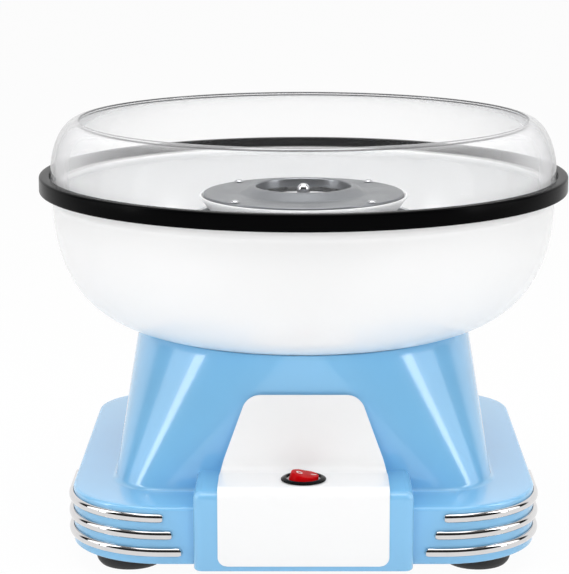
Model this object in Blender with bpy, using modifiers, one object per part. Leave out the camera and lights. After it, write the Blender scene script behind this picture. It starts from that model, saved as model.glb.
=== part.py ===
"""Cotton candy machine: a table-top sugar spinner with a floss bowl, made as its separate pieces.

Metres, +Z up, front towards -Y. The origin is on the table, under the spindle.
"""

import math

import bmesh
import bpy
from mathutils import Matrix, Vector

# Fits and walls
GAP = 0.0003  # between two pieces that touch
WALL = 0.003  # moulded housing
LAP = 0.010  # how far a body that is joined on, or a cutter, reaches past the face it meets
TURN = 2 * math.pi

# Plinth and column of the housing
PLINTH_HALF = 0.1266
PLINTH_CORNER = 0.052  # at the front
PLINTH_REAR_CORNER = 0.042
PLINTH_BOTTOM = 0.010
PLINTH_TOP = 0.0412
PLINTH_EDGE = 0.002
COLUMN_HALF_WIDTH = 0.104  # at the plinth
COLUMN_HALF_DEPTH = 0.0958
COLUMN_CORNER = 0.030
COLUMN_TOP_RADIUS = 0.0942
COLUMN_TOP_FLAT = 0.0005  # half of each straight stretch left in the round top
COLUMN_TOP = 0.1160
DECK_RADIUS = 0.083
DECK = 0.1139
DECK_HOLE = 0.012  # radius, for the shaft and the motor's collet

# Console and the white panel over it
CONSOLE_HALF = 0.0578
CONSOLE_FRONT = -0.1394
CONSOLE_REAR = -0.085
CONSOLE_TOP = 0.053
CONSOLE_CORNER = 0.005
CONSOLE_EDGE = 0.0035
PANEL_THICKNESS = 0.002
PANEL_SECTION = ((-0.0980, 0.0955), (-0.1085, 0.0562), (-0.1417, 0.0562), (-0.1417, 0.0137))
PANEL_BENDS = (0.006, 0.005)
PANEL_HALF_TOP = 0.0302
PANEL_HALF = 0.0450
PANEL_TOP_CORNER = 0.0065
PANEL_FOOT_CORNER = 0.005

# Rocker switch on the panel's ledge
SWITCH_Y = -0.1245
BEZEL_RADIUS = 0.0120
BEZEL_HEIGHT = 0.0012
BEZEL_CHAMFER = 0.0018
TERMINAL_X = 0.0045
TERMINAL_HALF = (0.0004, 0.0024)
TERMINAL_LENGTH = 0.008
SWITCH_BODY_RADIUS = 0.0102
SWITCH_BODY_DEPTH = 0.016
SWITCH_WELL_RADIUS = 0.0093
SWITCH_WELL_DEPTH = 0.006
ROCKER_RADIUS = 0.0083
ROCKER_TOP_RADIUS = 0.0073
ROCKER_TILT = math.radians(10)
ROCKER_VALLEY = math.radians(5)  # slope of each half of its top
ROCKER_TOP = 0.0043  # above the pivot, in the valley
ROCKER_BOTTOM = -0.0022
ROCKER_PIVOT_HEIGHT = -0.0012
ROCKER_PIN_RADIUS = 0.0009
ROCKER_PIN_HALF = 0.0097

# Chrome strips around the plinth's front corners
STRIP_HEIGHT = 0.0049
STRIP_DEPTH = 0.0022
STRIP_LEVELS = {"lower": 0.0168, "middle": 0.0262, "upper": 0.0356}
STRIP_FRONT_ENDS = {"lower": 0.064, "middle": 0.069, "upper": 0.0738}
STRIP_SIDE_END = 0.040

# Feet and their screws
FOOT_X = 0.0945
FOOT_Y = 0.0905
FOOT_RADIUS = 0.0185
FOOT_TREAD = 0.0160  # outer radius of the ring that it stands on
FOOT_BORE = 0.0023
FOOT_COUNTERBORE = 0.0050
FOOT_COUNTERBORE_TOP = 0.0045
FOOT_SCREW_RADIUS = 0.0018
FOOT_SCREW_HOLE = 0.0022
FOOT_SCREW_TOP = 0.034
BOSS_RADIUS = 0.005
BOSS_HOLE = 0.0021

# Plate under the housing, and its vents
PLATE_THICKNESS = 0.0025
VENT_ROWS = 5
VENT_PITCH = 0.012
VENT_HALF_WIDTH = 0.002
VENT_NEAR = 0.015  # ends of each slot, from the middle
VENT_FAR = 0.055

# Bowl, bumper ring and splash guard
RIM_RADIUS = 0.150
RIM_TOP = 0.202
RIM_BOTTOM = 0.1928
BOWL_RADIUS = 0.1426
BOWL_SHOULDER = 0.192
BOWL_POLE_RADIUS = 0.0421  # where the bowl's outline would end if it had no hole
BOWL_POLE = 0.11276
BOWL_SIDE_POWER = 2 / 3.45
BOWL_BASE_POWER = 2 / 2.337
BOWL_WALL = 0.0028
BOWL_FLAT_RADIUS = 0.082
BOWL_HOLE_RADIUS = 0.079
COLLAR_RADIUS = 0.0815
COLLAR_TOP = 0.126
FLANGE_RADIUS = 0.1464
FLANGE_INNER = 0.1375
FLANGE_BOTTOM = 0.1945
FLANGE_TOP = 0.1965
GUARD_RADIUS = 0.1434
GUARD_MOUTH_RADIUS = 0.1268
GUARD_SHOULDER = 0.203
GUARD_TOP = 0.2331
GUARD_WALL = 0.0022

# Twist lock between the housing's spigot and the bowl's hole
SPIGOT_INNER = 0.070
SPIGOT_OUTER = 0.074
SPIGOT_TOP = 0.1215
LUG_RADIUS = 0.0775
LUG_THICKNESS = 0.003
TAB_RADIUS = 0.075
TAB_TOP = 0.1180
LOCK_SWEEP = math.radians(28)
LOCK_COUNT = 3

# Motor under the deck
SHAFT_RADIUS = 0.003
SHAFT_BOTTOM = 0.049
SHAFT_SHOULDER = 0.1777
THREAD_RADIUS = 0.002
THREAD_TOP = 0.1915
BORE_RADIUS = 0.0033  # clearance hole for the shaft
MOTOR_RADIUS = 0.021
MOTOR_BOTTOM = 0.050
MOTOR_TOP = 0.0982
MOTOR_SHEET = 0.0015
BUSH_RADIUS = 0.0056
COLLET_RADIUS = 0.0075
BRACKET_RADIUS = 0.036
BRACKET_BOTTOM = 0.0985
BRACKET_TOP = 0.1000
SCREW_CIRCLE = 0.030
SCREW_RADIUS = 0.0015
SCREW_HOLE = 0.0019
SCREW_HEAD = 0.003
DAMPER_RADIUS = 0.006
CAP_THICKNESS = 0.0045
MAGNET_INNER = 0.0162
MAGNET_SPAN = (0.064, 0.094)
MAGNET_SWEEP = math.radians(140)
BRUSH_NEAR = 0.0058
BRUSH_FAR = 0.0135
BRUSH_TOP = 0.0625
BRUSH_HALF = 0.002
ROTOR_RADIUS = 0.0155
ROTOR_SPAN = (0.066, 0.092)
COMMUTATOR_RADIUS = 0.0055
COMMUTATOR_SPAN = (0.0575, 0.0635)

# Heater above the deck
CUP_RADIUS = 0.064
CUP_LOWER_RADIUS = 0.0612
CUP_SHEET = 0.0012
CUP_LEDGE = 0.160
CUP_TOP = 0.1765
CUP_HOLE = 0.009
CUP_ROLL = 0.0015  # how far the rolled rim stands out
REFLECTOR_SHEET = 0.001
INSULATOR_RADIUS = 0.0047
INSULATOR_FLANGE = 0.0068
CUTOUT_LOW = (-0.007, -0.034)
CUTOUT_HIGH = (0.007, -0.026)
CUTOUT_HEIGHT = 0.0055
HEATER_RADIUS = 0.044
HEATER_HEIGHT = 0.171
HEATER_TUBE = 0.0033
HEATER_LEG_BOTTOM = 0.146
HEATER_LEG_ANGLE = math.radians(13)  # each side of the rear
HEATER_BEND = 0.006
LEAD_HOLE = 0.0026
LEAD_RADIUS = 0.0012

# Spinning head
HEAD_PLANE = 0.190
HEAD_RADIUS = 0.0572
HEAD_SHEET = 0.0018
HEAD_LIP_RADIUS = 0.0283
HEAD_LIP_TOP = 0.1942
CONE_TOP = (0.0300, 0.1938)
CONE_FOOT_RADIUS = 0.0368
CONE_WALL = 0.0024
WELL_WALL_FOOT = 0.1890
WELL_WALL_INNER = 0.0268
PAN_RADIUS = 0.0595
PAN_RIM_TOP = 0.1890
PAN_RIM_FOOT = 0.1880
PAN_RIM_SHEET = 0.0012
PAN_TROUGH = 0.183
PAN_TROUGH_INNER = 0.030
PAN_TROUGH_OUTER = 0.0525
PAN_SHEET = 0.002
WELL_RADIUS = 0.024
WELL_FLOOR = 0.187
HUB_RADIUS = 0.008
HUB_BOTTOM = 0.178
HUB_BORE = 0.0023
SCREEN_RADIUS = 0.0503
SCREEN_SHEET = 0.0009
SCREEN_SLOTS = 12
SLOT_HALF = 0.0022
SLOT_SPAN = (0.1846, 0.1866)
HEAD_SCREW_CIRCLE = 0.0537
HEAD_SCREW_RADIUS = 0.0014
HEAD_SCREW_HOLE = 0.0017
NUT_RADIUS = 0.0038
NUT_TOP = 0.1952

# Cord gland in the rear wall
GLAND_HEIGHT = 0.026
GLAND_RADIUS = 0.0062
GLAND_FLANGE = 0.0085
GLAND_BORE = 0.0036
GLAND_STANDS_OUT = 0.0032
GLAND_REACHES_IN = 0.0085

# Facets around the turned pieces
LARGE_STEPS = 40
MEDIUM_STEPS = 32
SMALL_STEPS = 16
SCREW_STEPS = 10
HOLE_STEPS = 12
SWITCH_STEPS = 24
MOTOR_STEPS = 28
COLUMN_STEPS = 9  # in each quarter

PARTS = bpy.data.collections.new("cotton_candy_machine")
CUTTERS = bpy.data.collections.new("cutters")


def clear_scene():
    """Empty the scene and give it the two collections."""
    for obj in list(bpy.data.objects):
        bpy.data.objects.remove(obj, do_unlink=True)
    for collection in (PARTS, CUTTERS):
        bpy.context.scene.collection.children.link(collection)


def finish(name, colour, roughness, metallic=0.0, alpha=1.0):
    """A Principled BSDF material."""
    made = bpy.data.materials.new(name)
    made.use_nodes = True
    shader = made.node_tree.nodes["Principled BSDF"]
    shader.inputs["Base Color"].default_value = (*colour, 1.0)
    shader.inputs["Roughness"].default_value = roughness
    shader.inputs["Metallic"].default_value = metallic
    shader.inputs["Alpha"].default_value = alpha
    return made


BLUE = finish("sky_blue_plastic", (0.24, 0.56, 0.86), 0.22)
WHITE = finish("white_plastic", (0.88, 0.88, 0.88), 0.25)
BLACK = finish("black_plastic", (0.012, 0.012, 0.013), 0.2)
CLEAR = finish("clear_plastic", (0.95, 0.96, 0.97), 0.04, alpha=0.25)
CHROME = finish("chrome", (0.86, 0.86, 0.87), 0.05, 1.0)
RUBBER = finish("black_rubber", (0.02, 0.02, 0.02), 0.7)
RED = finish("red_plastic", (0.62, 0.012, 0.014), 0.2)
ALUMINIUM = finish("aluminium", (0.62, 0.63, 0.65), 0.32, 1.0)
STEEL = finish("steel", (0.50, 0.50, 0.52), 0.3, 1.0)
BRASS = finish("brass", (0.72, 0.52, 0.2), 0.35, 1.0)
CERAMIC = finish("ceramic", (0.84, 0.80, 0.72), 0.6)
CARBON = finish("carbon", (0.03, 0.03, 0.03), 0.6)
FERRITE = finish("ferrite", (0.07, 0.07, 0.075), 0.7)


def empty(name, location=(0, 0, 0), rotation=(0, 0, 0), parent=None):
    """A bare frame that pieces hang on."""
    made = bpy.data.objects.new(name, None)
    made.location = location
    made.rotation_euler = rotation
    made.parent = parent
    PARTS.objects.link(made)
    return made


def piece(name, data, look, parent, location=(0, 0, 0), rotation=(0, 0, 0)):
    """One sub-part of the machine, from a mesh or a curve."""
    made = bpy.data.objects.new(name, data)
    made.location = location
    made.rotation_euler = rotation
    made.parent = parent
    data.materials.append(look)
    PARTS.objects.link(made)
    return made


def cutter(name, mesh, parent=None):
    """A hidden body that a Boolean adds or removes."""
    made = bpy.data.objects.new(name, mesh)
    made.parent = parent
    made.hide_render = True
    made.display_type = "WIRE"
    CUTTERS.objects.link(made)
    return made


def combine(target, other, operation):
    """Add or remove another body with a Boolean."""
    boolean = target.modifiers.new(f"{operation.lower()} {other.name}", "BOOLEAN")
    boolean.operation = operation
    boolean.solver = "EXACT"
    boolean.object = other


def mesh_of(bm, name):
    """Close a bmesh into a mesh, smooth but for its sharp edges."""
    bmesh.ops.recalc_face_normals(bm, faces=bm.faces)
    mesh = bpy.data.meshes.new(name)
    bm.to_mesh(mesh)
    bm.free()
    mesh.shade_smooth()
    mesh.set_sharp_from_angle(angle=math.radians(35))
    return mesh


def join(bodies, name):
    """Several bmeshes as one mesh of separate bodies."""
    whole = bmesh.new()
    for body in bodies:
        part = bpy.data.meshes.new("part")
        body.to_mesh(part)
        body.free()
        whole.from_mesh(part)
        bpy.data.meshes.remove(part)
    return mesh_of(whole, name)


def outline_mesh(name, profile, closed):
    """A half section in the XZ plane, as edges for a Screw modifier."""
    count = len(profile)
    edges = [(i, (i + 1) % count) for i in range(count if closed else count - 1)]
    mesh = bpy.data.meshes.new(name)
    mesh.from_pydata([(radius, 0, height) for radius, height in profile], edges, [])
    return mesh


def turn(obj, steps):
    """Spin an object's half section a full turn about its own Z."""
    screw = obj.modifiers.new("turn", "SCREW")
    screw.axis = "Z"
    screw.angle = TURN
    screw.steps = steps
    screw.render_steps = steps
    screw.use_merge_vertices = True
    screw.merge_threshold = 0.00001
    screw.use_smooth_shade = True


def turned(name, profile, steps, look, parent, location=(0, 0, 0), rotation=(0, 0, 0)):
    """A turned piece. A profile that starts and ends on the axis is solid, any other is a ring."""
    closed = profile[0][0] > 0
    made = piece(name, outline_mesh(name, profile, closed), look, parent, location, rotation)
    turn(made, steps)
    return made


def washer(inner, outer, low, high):
    """The half section of a plain ring or tube."""
    return [(inner, high), (outer, high), (outer, low), (inner, low)]


def block(low, high):
    """A plain box between two corners, as a bmesh."""
    bm = bmesh.new()
    bmesh.ops.create_cube(bm, size=1.0)
    low, high = Vector(low), Vector(high)
    bmesh.ops.scale(bm, vec=high - low, verts=bm.verts)
    bmesh.ops.translate(bm, vec=(low + high) / 2, verts=bm.verts)
    return bm


def rounded_block(low, high, corner, corner_steps, rear_corner=None, top_edge=0.0, edge_steps=2):
    """A box with its upright edges rounded, the rear ones otherwise if asked, and its top edge if asked."""
    bm = block(low, high)
    middle = (low[1] + high[1]) / 2
    for side, radius in ((-1, corner), (1, corner if rear_corner is None else rear_corner)):
        upright = []
        for edge in bm.edges:
            one, other = (vert.co for vert in edge.verts)
            if abs(one.z - other.z) > GAP and (one.y - middle) * side > 0:
                upright.append(edge)
        bmesh.ops.bevel(
            bm, geom=upright, offset=radius, segments=corner_steps, profile=0.5, affect="EDGES", material=-1
        )
    if top_edge:
        rim = [e for e in bm.edges if all(abs(v.co.z - high[2]) < 1e-6 for v in e.verts)]
        bmesh.ops.bevel(
            bm, geom=rim, offset=top_edge, segments=edge_steps, profile=0.5, affect="EDGES", material=-1
        )
    return bm


def cylinder(radius, low, high, steps, centre=(0, 0), top_radius=None):
    """An upright cylinder, or a cone if its top has a radius of its own, as a bmesh."""
    bm = bmesh.new()
    place = Matrix.Translation((*centre, (low + high) / 2))
    top = radius if top_radius is None else top_radius
    bmesh.ops.create_cone(
        bm, cap_ends=True, segments=steps, radius1=radius, radius2=top, depth=high - low, matrix=place
    )
    return bm


def sector(inner, outer, low, high, middle, sweep, steps):
    """Part of a ring, centred on the angle middle, as a bmesh."""
    bm = bmesh.new()
    corners = [bm.verts.new((r, 0, z)) for r, z in washer(inner, outer, low, high)]
    face = bm.faces.new(corners)
    bmesh.ops.rotate(bm, matrix=Matrix.Rotation(middle - sweep / 2, 3, "Z"), verts=corners)
    bmesh.ops.spin(
        bm, geom=[face, *face.edges, *corners], cent=(0, 0, 0), axis=(0, 0, 1), angle=sweep, steps=steps
    )
    bmesh.ops.recalc_face_normals(bm, faces=bm.faces)
    return bm


def loft(rings):
    """A closed solid through rings that have the same number of points."""
    bm = bmesh.new()
    loops = [[bm.verts.new(point) for point in ring] for ring in rings]
    count = len(loops[0])
    for one, other in zip(loops, loops[1:]):
        for i in range(count):
            j = (i + 1) % count
            bm.faces.new((one[i], one[j], other[j], other[i]))
    bm.faces.new(loops[0])
    bm.faces.new(loops[-1])
    bmesh.ops.recalc_face_normals(bm, faces=bm.faces)
    return bm


def rounded_path(points, radii, steps):
    """A polyline in two dimensions whose inner corners are arcs."""
    path = [Vector(points[0])]
    for before, corner, after, radius in zip(points, points[1:], points[2:], radii):
        corner = Vector(corner)
        back = (Vector(before) - corner).normalized()
        ahead = (Vector(after) - corner).normalized()
        half = back.angle(ahead) / 2
        centre = corner + (back + ahead).normalized() * radius / math.sin(half)
        start = corner + back * radius / math.tan(half) - centre
        side = 1 if back.x * ahead.y - back.y * ahead.x < 0 else -1
        sweep = side * (math.pi - 2 * half)
        path += [centre + Matrix.Rotation(sweep * i / steps, 2) @ start for i in range(steps + 1)]
    path.append(Vector(points[-1]))
    return path


def smooth_route(points, per_span):
    """Points along a Catmull-Rom curve through a few chosen points."""
    knots = [Vector(p) for p in points]
    knots = [2 * knots[0] - knots[1], *knots, 2 * knots[-1] - knots[-2]]
    route = []
    for a, b, c, d in zip(knots, knots[1:], knots[2:], knots[3:]):
        slope, bend, twist = c - a, 2 * a - 5 * b + 4 * c - d, 3 * b - a - 3 * c + d
        for i in range(per_span):
            t = i / per_span
            route.append(b + 0.5 * (slope * t + bend * t**2 + twist * t**3))
    route.append(knots[-2])
    return route


def tube(name, route, radius, look, parent, resolution):
    """A round bar or wire along a route."""
    curve = bpy.data.curves.new(name, "CURVE")
    curve.dimensions = "3D"
    curve.bevel_depth = radius
    curve.bevel_resolution = resolution
    curve.use_fill_caps = True
    spline = curve.splines.new("POLY")
    spline.points.add(len(route) - 1)
    for point, place in zip(spline.points, route):
        point.co = (*place, 1.0)
    return piece(name, curve, look, parent)


def around(radius, angle, height=None):
    """A place on a circle about the spindle."""
    place = (radius * math.cos(angle), radius * math.sin(angle))
    return place if height is None else (*place, height)


# Housing


def column_ring(height, inset=0.0):
    """The column's section at a height: a rounded rectangle at the plinth, round under the bowl."""
    share = min(1.0, max(0.0, (COLUMN_TOP - height) / (COLUMN_TOP - PLINTH_TOP)))
    half_width = COLUMN_TOP_RADIUS + (COLUMN_HALF_WIDTH - COLUMN_TOP_RADIUS) * share
    half_depth = COLUMN_TOP_RADIUS + (COLUMN_HALF_DEPTH - COLUMN_TOP_RADIUS) * share
    top_corner = COLUMN_TOP_RADIUS - COLUMN_TOP_FLAT
    corner = top_corner + (COLUMN_CORNER - top_corner) * share
    flat_x, flat_y = half_width - corner, half_depth - corner
    ring = []
    for quarter, (side_x, side_y) in enumerate(((1, 1), (-1, 1), (-1, -1), (1, -1))):
        for i in range(COLUMN_STEPS + 1):
            x, y = around(corner - inset, TURN / 4 * (quarter + i / COLUMN_STEPS))
            ring.append((side_x * flat_x + x, side_y * flat_y + y, height))
    return ring


def column_body():
    """The outer column, with a dished top that the bowl sits in."""
    levels = (PLINTH_TOP - LAP, PLINTH_TOP, (PLINTH_TOP + COLUMN_TOP) / 2, COLUMN_TOP)
    rings = [column_ring(height) for height in levels]
    deck = []
    for x, y, _ in rings[-1]:
        inwards = DECK_RADIUS / math.hypot(x, y)
        deck.append((x * inwards, y * inwards, DECK))
    return loft([*rings, deck])


def column_cavity():
    """The hollow inside the column, up to the deck's underside."""
    levels = (PLINTH_TOP - 1.1 * LAP, PLINTH_TOP, (PLINTH_TOP + COLUMN_TOP) / 2, DECK - WALL)
    return loft([column_ring(height, WALL) for height in levels])


def panel_half_at(height):
    """Half the panel's width at a height on its slope or front."""
    top, ledge = PANEL_SECTION[0][1], PANEL_SECTION[1][1]
    share = min(1.0, max(0.0, (top - height) / (top - ledge)))
    return PANEL_HALF_TOP + (PANEL_HALF - PANEL_HALF_TOP) * share


def nose_body():
    """The blue wedge that backs the panel's slope and ledge."""
    back = PANEL_THICKNESS + GAP
    (top_y, top_z), (heel_y, heel_z), (toe_y, toe_z), _ = PANEL_SECTION
    front = toe_y + CONSOLE_CORNER + PANEL_THICKNESS
    section = [(top_y + back, top_z - back), (heel_y + back, heel_z - back), (front, toe_z - back)]
    face = rounded_path(section, [PANEL_BENDS[0] + back], 4)
    low = CONSOLE_TOP - 0.8 * LAP
    inside = 1.2 * LAP - COLUMN_HALF_DEPTH
    outline = [(y, z) for y, z in face]
    outline += [(front, low), (inside, low), (inside, heel_z), (inside, face[0].y)]
    sides = []
    for side in (-1, 1):
        sides.append([(side * (panel_half_at(z) - GAP), y, z) for y, z in outline])
    nose = loft(sides)
    bmesh.ops.triangulate(nose, faces=[face for face in nose.faces if len(face.verts) > 4])
    return nose


def switch_hole(parent):
    """The hole that the switch body drops through."""
    hole = cylinder(SWITCH_BODY_RADIUS + GAP, -1.2 * LAP, LAP, SWITCH_STEPS)
    return cutter("switch_hole", mesh_of(hole, "switch_hole"), parent)


def foot_places():
    """The four feet, by name."""
    return {
        f"{row}_{side}": (x, y)
        for row, y in (("front", -FOOT_Y), ("rear", FOOT_Y))
        for side, x in (("left", -FOOT_X), ("right", FOOT_X))
    }


def screw_places():
    """The two screws of the motor bracket, by name."""
    return {"left": around(SCREW_CIRCLE, TURN / 2), "right": around(SCREW_CIRCLE, 0.0)}


def heater_leg_places():
    """The two ends of the heating element, at the rear."""
    return {
        "left": around(HEATER_RADIUS, TURN / 4 + HEATER_LEG_ANGLE),
        "right": around(HEATER_RADIUS, TURN / 4 - HEATER_LEG_ANGLE),
    }


def lock_angles():
    """The middles of the twist lock's lugs and tabs, when locked."""
    return [TURN * (i + 0.25) / LOCK_COUNT for i in range(LOCK_COUNT)]


def base_shell(root, seat):
    """The blue housing: plinth, column and console in one hollow moulding, open below."""
    half = PLINTH_HALF
    low, high = (-half, -half, 0), (half, half, PLINTH_TOP)
    plinth = rounded_block(low, high, PLINTH_CORNER, 8, PLINTH_REAR_CORNER, PLINTH_EDGE)
    shell = piece("base_shell", mesh_of(plinth, "base_shell"), BLUE, root)
    console = rounded_block(
        (-CONSOLE_HALF, CONSOLE_FRONT, -0.2 * LAP),
        (CONSOLE_HALF, CONSOLE_REAR, CONSOLE_TOP),
        CONSOLE_CORNER,
        3,
        top_edge=CONSOLE_EDGE,
    )
    for name, body in (("column", column_body()), ("console", console), ("nose", nose_body())):
        combine(shell, cutter(name, mesh_of(body, name)), "UNION")
    inner = half - WALL
    hollows = {
        "below_plinth": block((-2 * half, -2 * half, -half), (2 * half, 2 * half, PLINTH_BOTTOM)),
        "plinth_cavity": rounded_block(
            (-inner, -inner, 0),
            (inner, inner, PLINTH_TOP - WALL),
            PLINTH_CORNER - WALL,
            8,
            PLINTH_REAR_CORNER - WALL,
        ),
        "column_cavity": column_cavity(),
        "console_cavity": block(
            (WALL - CONSOLE_HALF, CONSOLE_FRONT + WALL, -0.1 * LAP),
            (CONSOLE_HALF - WALL, CONSOLE_REAR, CONSOLE_TOP - WALL),
        ),
    }
    for name, body in hollows.items():
        combine(shell, cutter(name, mesh_of(body, name)), "DIFFERENCE")
    boss_low, boss_high = PLINTH_BOTTOM + PLATE_THICKNESS + GAP, PLINTH_TOP - WALL / 2
    bosses = [cylinder(BOSS_RADIUS, boss_low, boss_high, SMALL_STEPS, p) for p in foot_places().values()]
    combine(shell, cutter("screw_bosses", join(bosses, "screw_bosses")), "UNION")
    spigot_section = washer(SPIGOT_INNER, SPIGOT_OUTER, DECK - WALL / 2, SPIGOT_TOP)
    spigot = cutter("spigot", outline_mesh("spigot", spigot_section, True))
    turn(spigot, LARGE_STEPS)
    combine(shell, spigot, "UNION")
    lug_root, lug_low, lug_high = SPIGOT_OUTER - 0.1 * LAP, SPIGOT_TOP - LUG_THICKNESS, SPIGOT_TOP - GAP
    lugs = [sector(lug_root, LUG_RADIUS, lug_low, lug_high, a, LOCK_SWEEP, 4) for a in lock_angles()]
    combine(shell, cutter("lock_lugs", join(lugs, "lock_lugs")), "UNION")
    low, high = DECK - LAP, DECK + LAP
    holes = [cylinder(DECK_HOLE, low, high, SMALL_STEPS)]
    holes += [cylinder(SCREW_HOLE, low, high, HOLE_STEPS, p) for p in screw_places().values()]
    holes += [cylinder(LEAD_HOLE, low, high, HOLE_STEPS, p) for p in heater_leg_places().values()]
    pilot = PLINTH_TOP - 2 * WALL
    holes += [cylinder(BOSS_HOLE, PLINTH_BOTTOM, pilot, HOLE_STEPS, p) for p in foot_places().values()]
    gland = cylinder(GLAND_RADIUS + GAP, -LAP, LAP, SMALL_STEPS)
    bmesh.ops.rotate(gland, matrix=Matrix.Rotation(TURN / 4, 3, "X"), verts=gland.verts)
    bmesh.ops.translate(gland, vec=(0, PLINTH_HALF, GLAND_HEIGHT), verts=gland.verts)
    combine(shell, cutter("shell_holes", join([*holes, gland], "shell_holes")), "DIFFERENCE")
    combine(shell, seat, "DIFFERENCE")


def bottom_plate(root):
    """The plate that closes the housing from below, with its vents and screw holes."""
    inset = WALL + GAP
    half = PLINTH_HALF - inset
    top = PLINTH_BOTTOM + PLATE_THICKNESS
    low, high = (-half, -half, PLINTH_BOTTOM), (half, half, top)
    slab = rounded_block(low, high, PLINTH_CORNER - inset, 6, PLINTH_REAR_CORNER - inset)
    plate = piece("bottom_plate", mesh_of(slab, "bottom_plate"), BLUE, root)
    tongue = block(
        (WALL + GAP - CONSOLE_HALF, CONSOLE_FRONT + WALL + GAP, PLINTH_BOTTOM),
        (CONSOLE_HALF - WALL - GAP, LAP - half, top),
    )
    combine(plate, cutter("plate_tongue", mesh_of(tongue, "plate_tongue")), "UNION")
    low, high = PLINTH_BOTTOM - LAP / 2, top + LAP / 2
    slots = []
    for near, far in ((-VENT_FAR, -VENT_NEAR), (VENT_NEAR, VENT_FAR)):
        for row in range(VENT_ROWS):
            middle = VENT_PITCH * (row - (VENT_ROWS - 1) / 2)
            front, rear = middle - VENT_HALF_WIDTH, middle + VENT_HALF_WIDTH
            slots.append(block((near, front, low), (far, rear, high)))
    slots += [cylinder(FOOT_SCREW_HOLE, low, high, HOLE_STEPS, p) for p in foot_places().values()]
    combine(plate, cutter("plate_holes", join(slots, "plate_holes")), "DIFFERENCE")


def feet(root):
    """Four rubber feet, each with the screw that also holds the bottom plate."""
    top = PLINTH_BOTTOM - GAP
    pad = [
        (FOOT_BORE, top), (FOOT_RADIUS, top), (FOOT_RADIUS, 0.3 * top), (FOOT_TREAD, 0.0),
        (FOOT_COUNTERBORE, 0.0), (FOOT_COUNTERBORE, FOOT_COUNTERBORE_TOP), (FOOT_BORE, FOOT_COUNTERBORE_TOP),
    ]  # fmt: skip
    seat = FOOT_COUNTERBORE_TOP - GAP
    head = FOOT_COUNTERBORE - 3 * GAP
    screw = [
        (0, FOOT_SCREW_TOP), (FOOT_SCREW_RADIUS, FOOT_SCREW_TOP - 0.001), (FOOT_SCREW_RADIUS, seat),
        (head, seat), (head - 0.0005, seat - 0.0018), (0, seat - 0.0020),
    ]  # fmt: skip
    for name, place in foot_places().items():
        turned(f"foot_{name}", pad, SMALL_STEPS, RUBBER, root, (*place, 0))
        turned(f"foot_screw_{name}", screw, SCREW_STEPS, STEEL, root, (*place, 0))


def front_panel(root, seat):
    """The white panel: one sheet down the slope, over the ledge and down the console's front."""
    section = rounded_path(PANEL_SECTION, PANEL_BENDS, 5)
    steps = [(b - a).length for a, b in zip(section, section[1:])]
    rows = []
    for start, step, a, b in zip([sum(steps[:i]) for i in range(len(steps))], steps, section, section[1:]):
        pieces = max(1, round(step / 0.012))
        rows += [(start + step * i / pieces, a.lerp(b, i / pieces)) for i in range(pieces)]
    length = sum(steps)
    for corner, from_top in ((PANEL_TOP_CORNER, True), (PANEL_FOOT_CORNER, False)):
        for i in range(1, 4):
            drop = corner * (1 - math.cos(TURN / 4 * i / 3))
            rows.append(along_section(section, steps, drop if from_top else length - drop))
    rows.append((length, section[-1]))
    rows = sorted(rows, key=lambda row: row[0])
    rows = [row for row, after in zip(rows, [*rows[1:], (1.0, None)]) if after[0] - row[0] > 0.0004]
    columns = 4
    bm = bmesh.new()
    bmesh.ops.create_grid(bm, x_segments=columns, y_segments=len(rows) - 1, size=1.0)
    for vert in bm.verts:
        travel, place = rows[round((1 - vert.co.y) / 2 * (len(rows) - 1))]
        half = panel_half_at(place.y)
        for corner, edge in ((PANEL_TOP_CORNER, travel), (PANEL_FOOT_CORNER, length - travel)):
            if edge < corner:
                half -= corner - math.sqrt(corner**2 - (corner - edge) ** 2)
        vert.co = (vert.co.x * half, place.x, place.y)
    panel = piece("front_panel", mesh_of(bm, "front_panel"), WHITE, root)
    if panel.data.polygons[0].normal.y > 0:
        panel.data.flip_normals()
    sheet = panel.modifiers.new("sheet", "SOLIDIFY")
    sheet.thickness = PANEL_THICKNESS
    sheet.offset = -1
    sheet.use_even_offset = True
    combine(panel, seat, "DIFFERENCE")


def along_section(section, steps, travel):
    """The place that lies a given length along a polyline, with that length."""
    left = travel
    for step, a, b in zip(steps, section, section[1:]):
        if left <= step:
            return travel, a.lerp(b, left / step)
        left -= step
    return travel, section[-1]


def strip_ring(place, outward, level, scale):
    """A chrome strip's D-shaped section, standing on the plinth's face."""
    ring = []
    for i in range(5):
        angle = TURN / 4 - TURN / 2 * i / 4
        out = GAP + STRIP_DEPTH * math.cos(angle) * max(scale, 0.35)
        height = STRIP_HEIGHT / 2 * math.sin(angle) * scale
        ring.append((*(place + outward * out), level + height))
    return ring


def chrome_strip(name, side, level, front_end, root):
    """A chrome strip from the plinth's front, round its corner, to its side."""
    middle = PLINTH_HALF - PLINTH_CORNER
    stations = []
    taper = STRIP_HEIGHT / 2
    for share, scale in ((0.0, 0.3), (0.3, 0.75), (1.0, 1.0)):
        stations.append((Vector((front_end + taper * share, -PLINTH_HALF)), Vector((0, -1)), scale))
    start = math.asin(max(0.0, (front_end + 2 * taper - middle) / PLINTH_CORNER))
    for i in range(9):
        angle = start + (TURN / 4 - start) * i / 8
        outward = Vector((math.sin(angle), -math.cos(angle)))
        stations.append((Vector((middle, -middle)) + outward * PLINTH_CORNER, outward, 1.0))
    for share, scale in ((1.0, 1.0), (0.3, 0.75), (0.0, 0.3)):
        stations.append((Vector((PLINTH_HALF, -STRIP_SIDE_END - taper * share)), Vector((1, 0)), scale))
    if front_end > middle:
        stations = [bend_onto_corner(station, middle) for station in stations]
    rings = [strip_ring(place, outward, level, scale) for place, outward, scale in stations]
    bm = loft(rings)
    if side < 0:
        bmesh.ops.scale(bm, vec=(-1, 1, 1), verts=bm.verts)
    piece(name, mesh_of(bm, name), CHROME, root)


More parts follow.
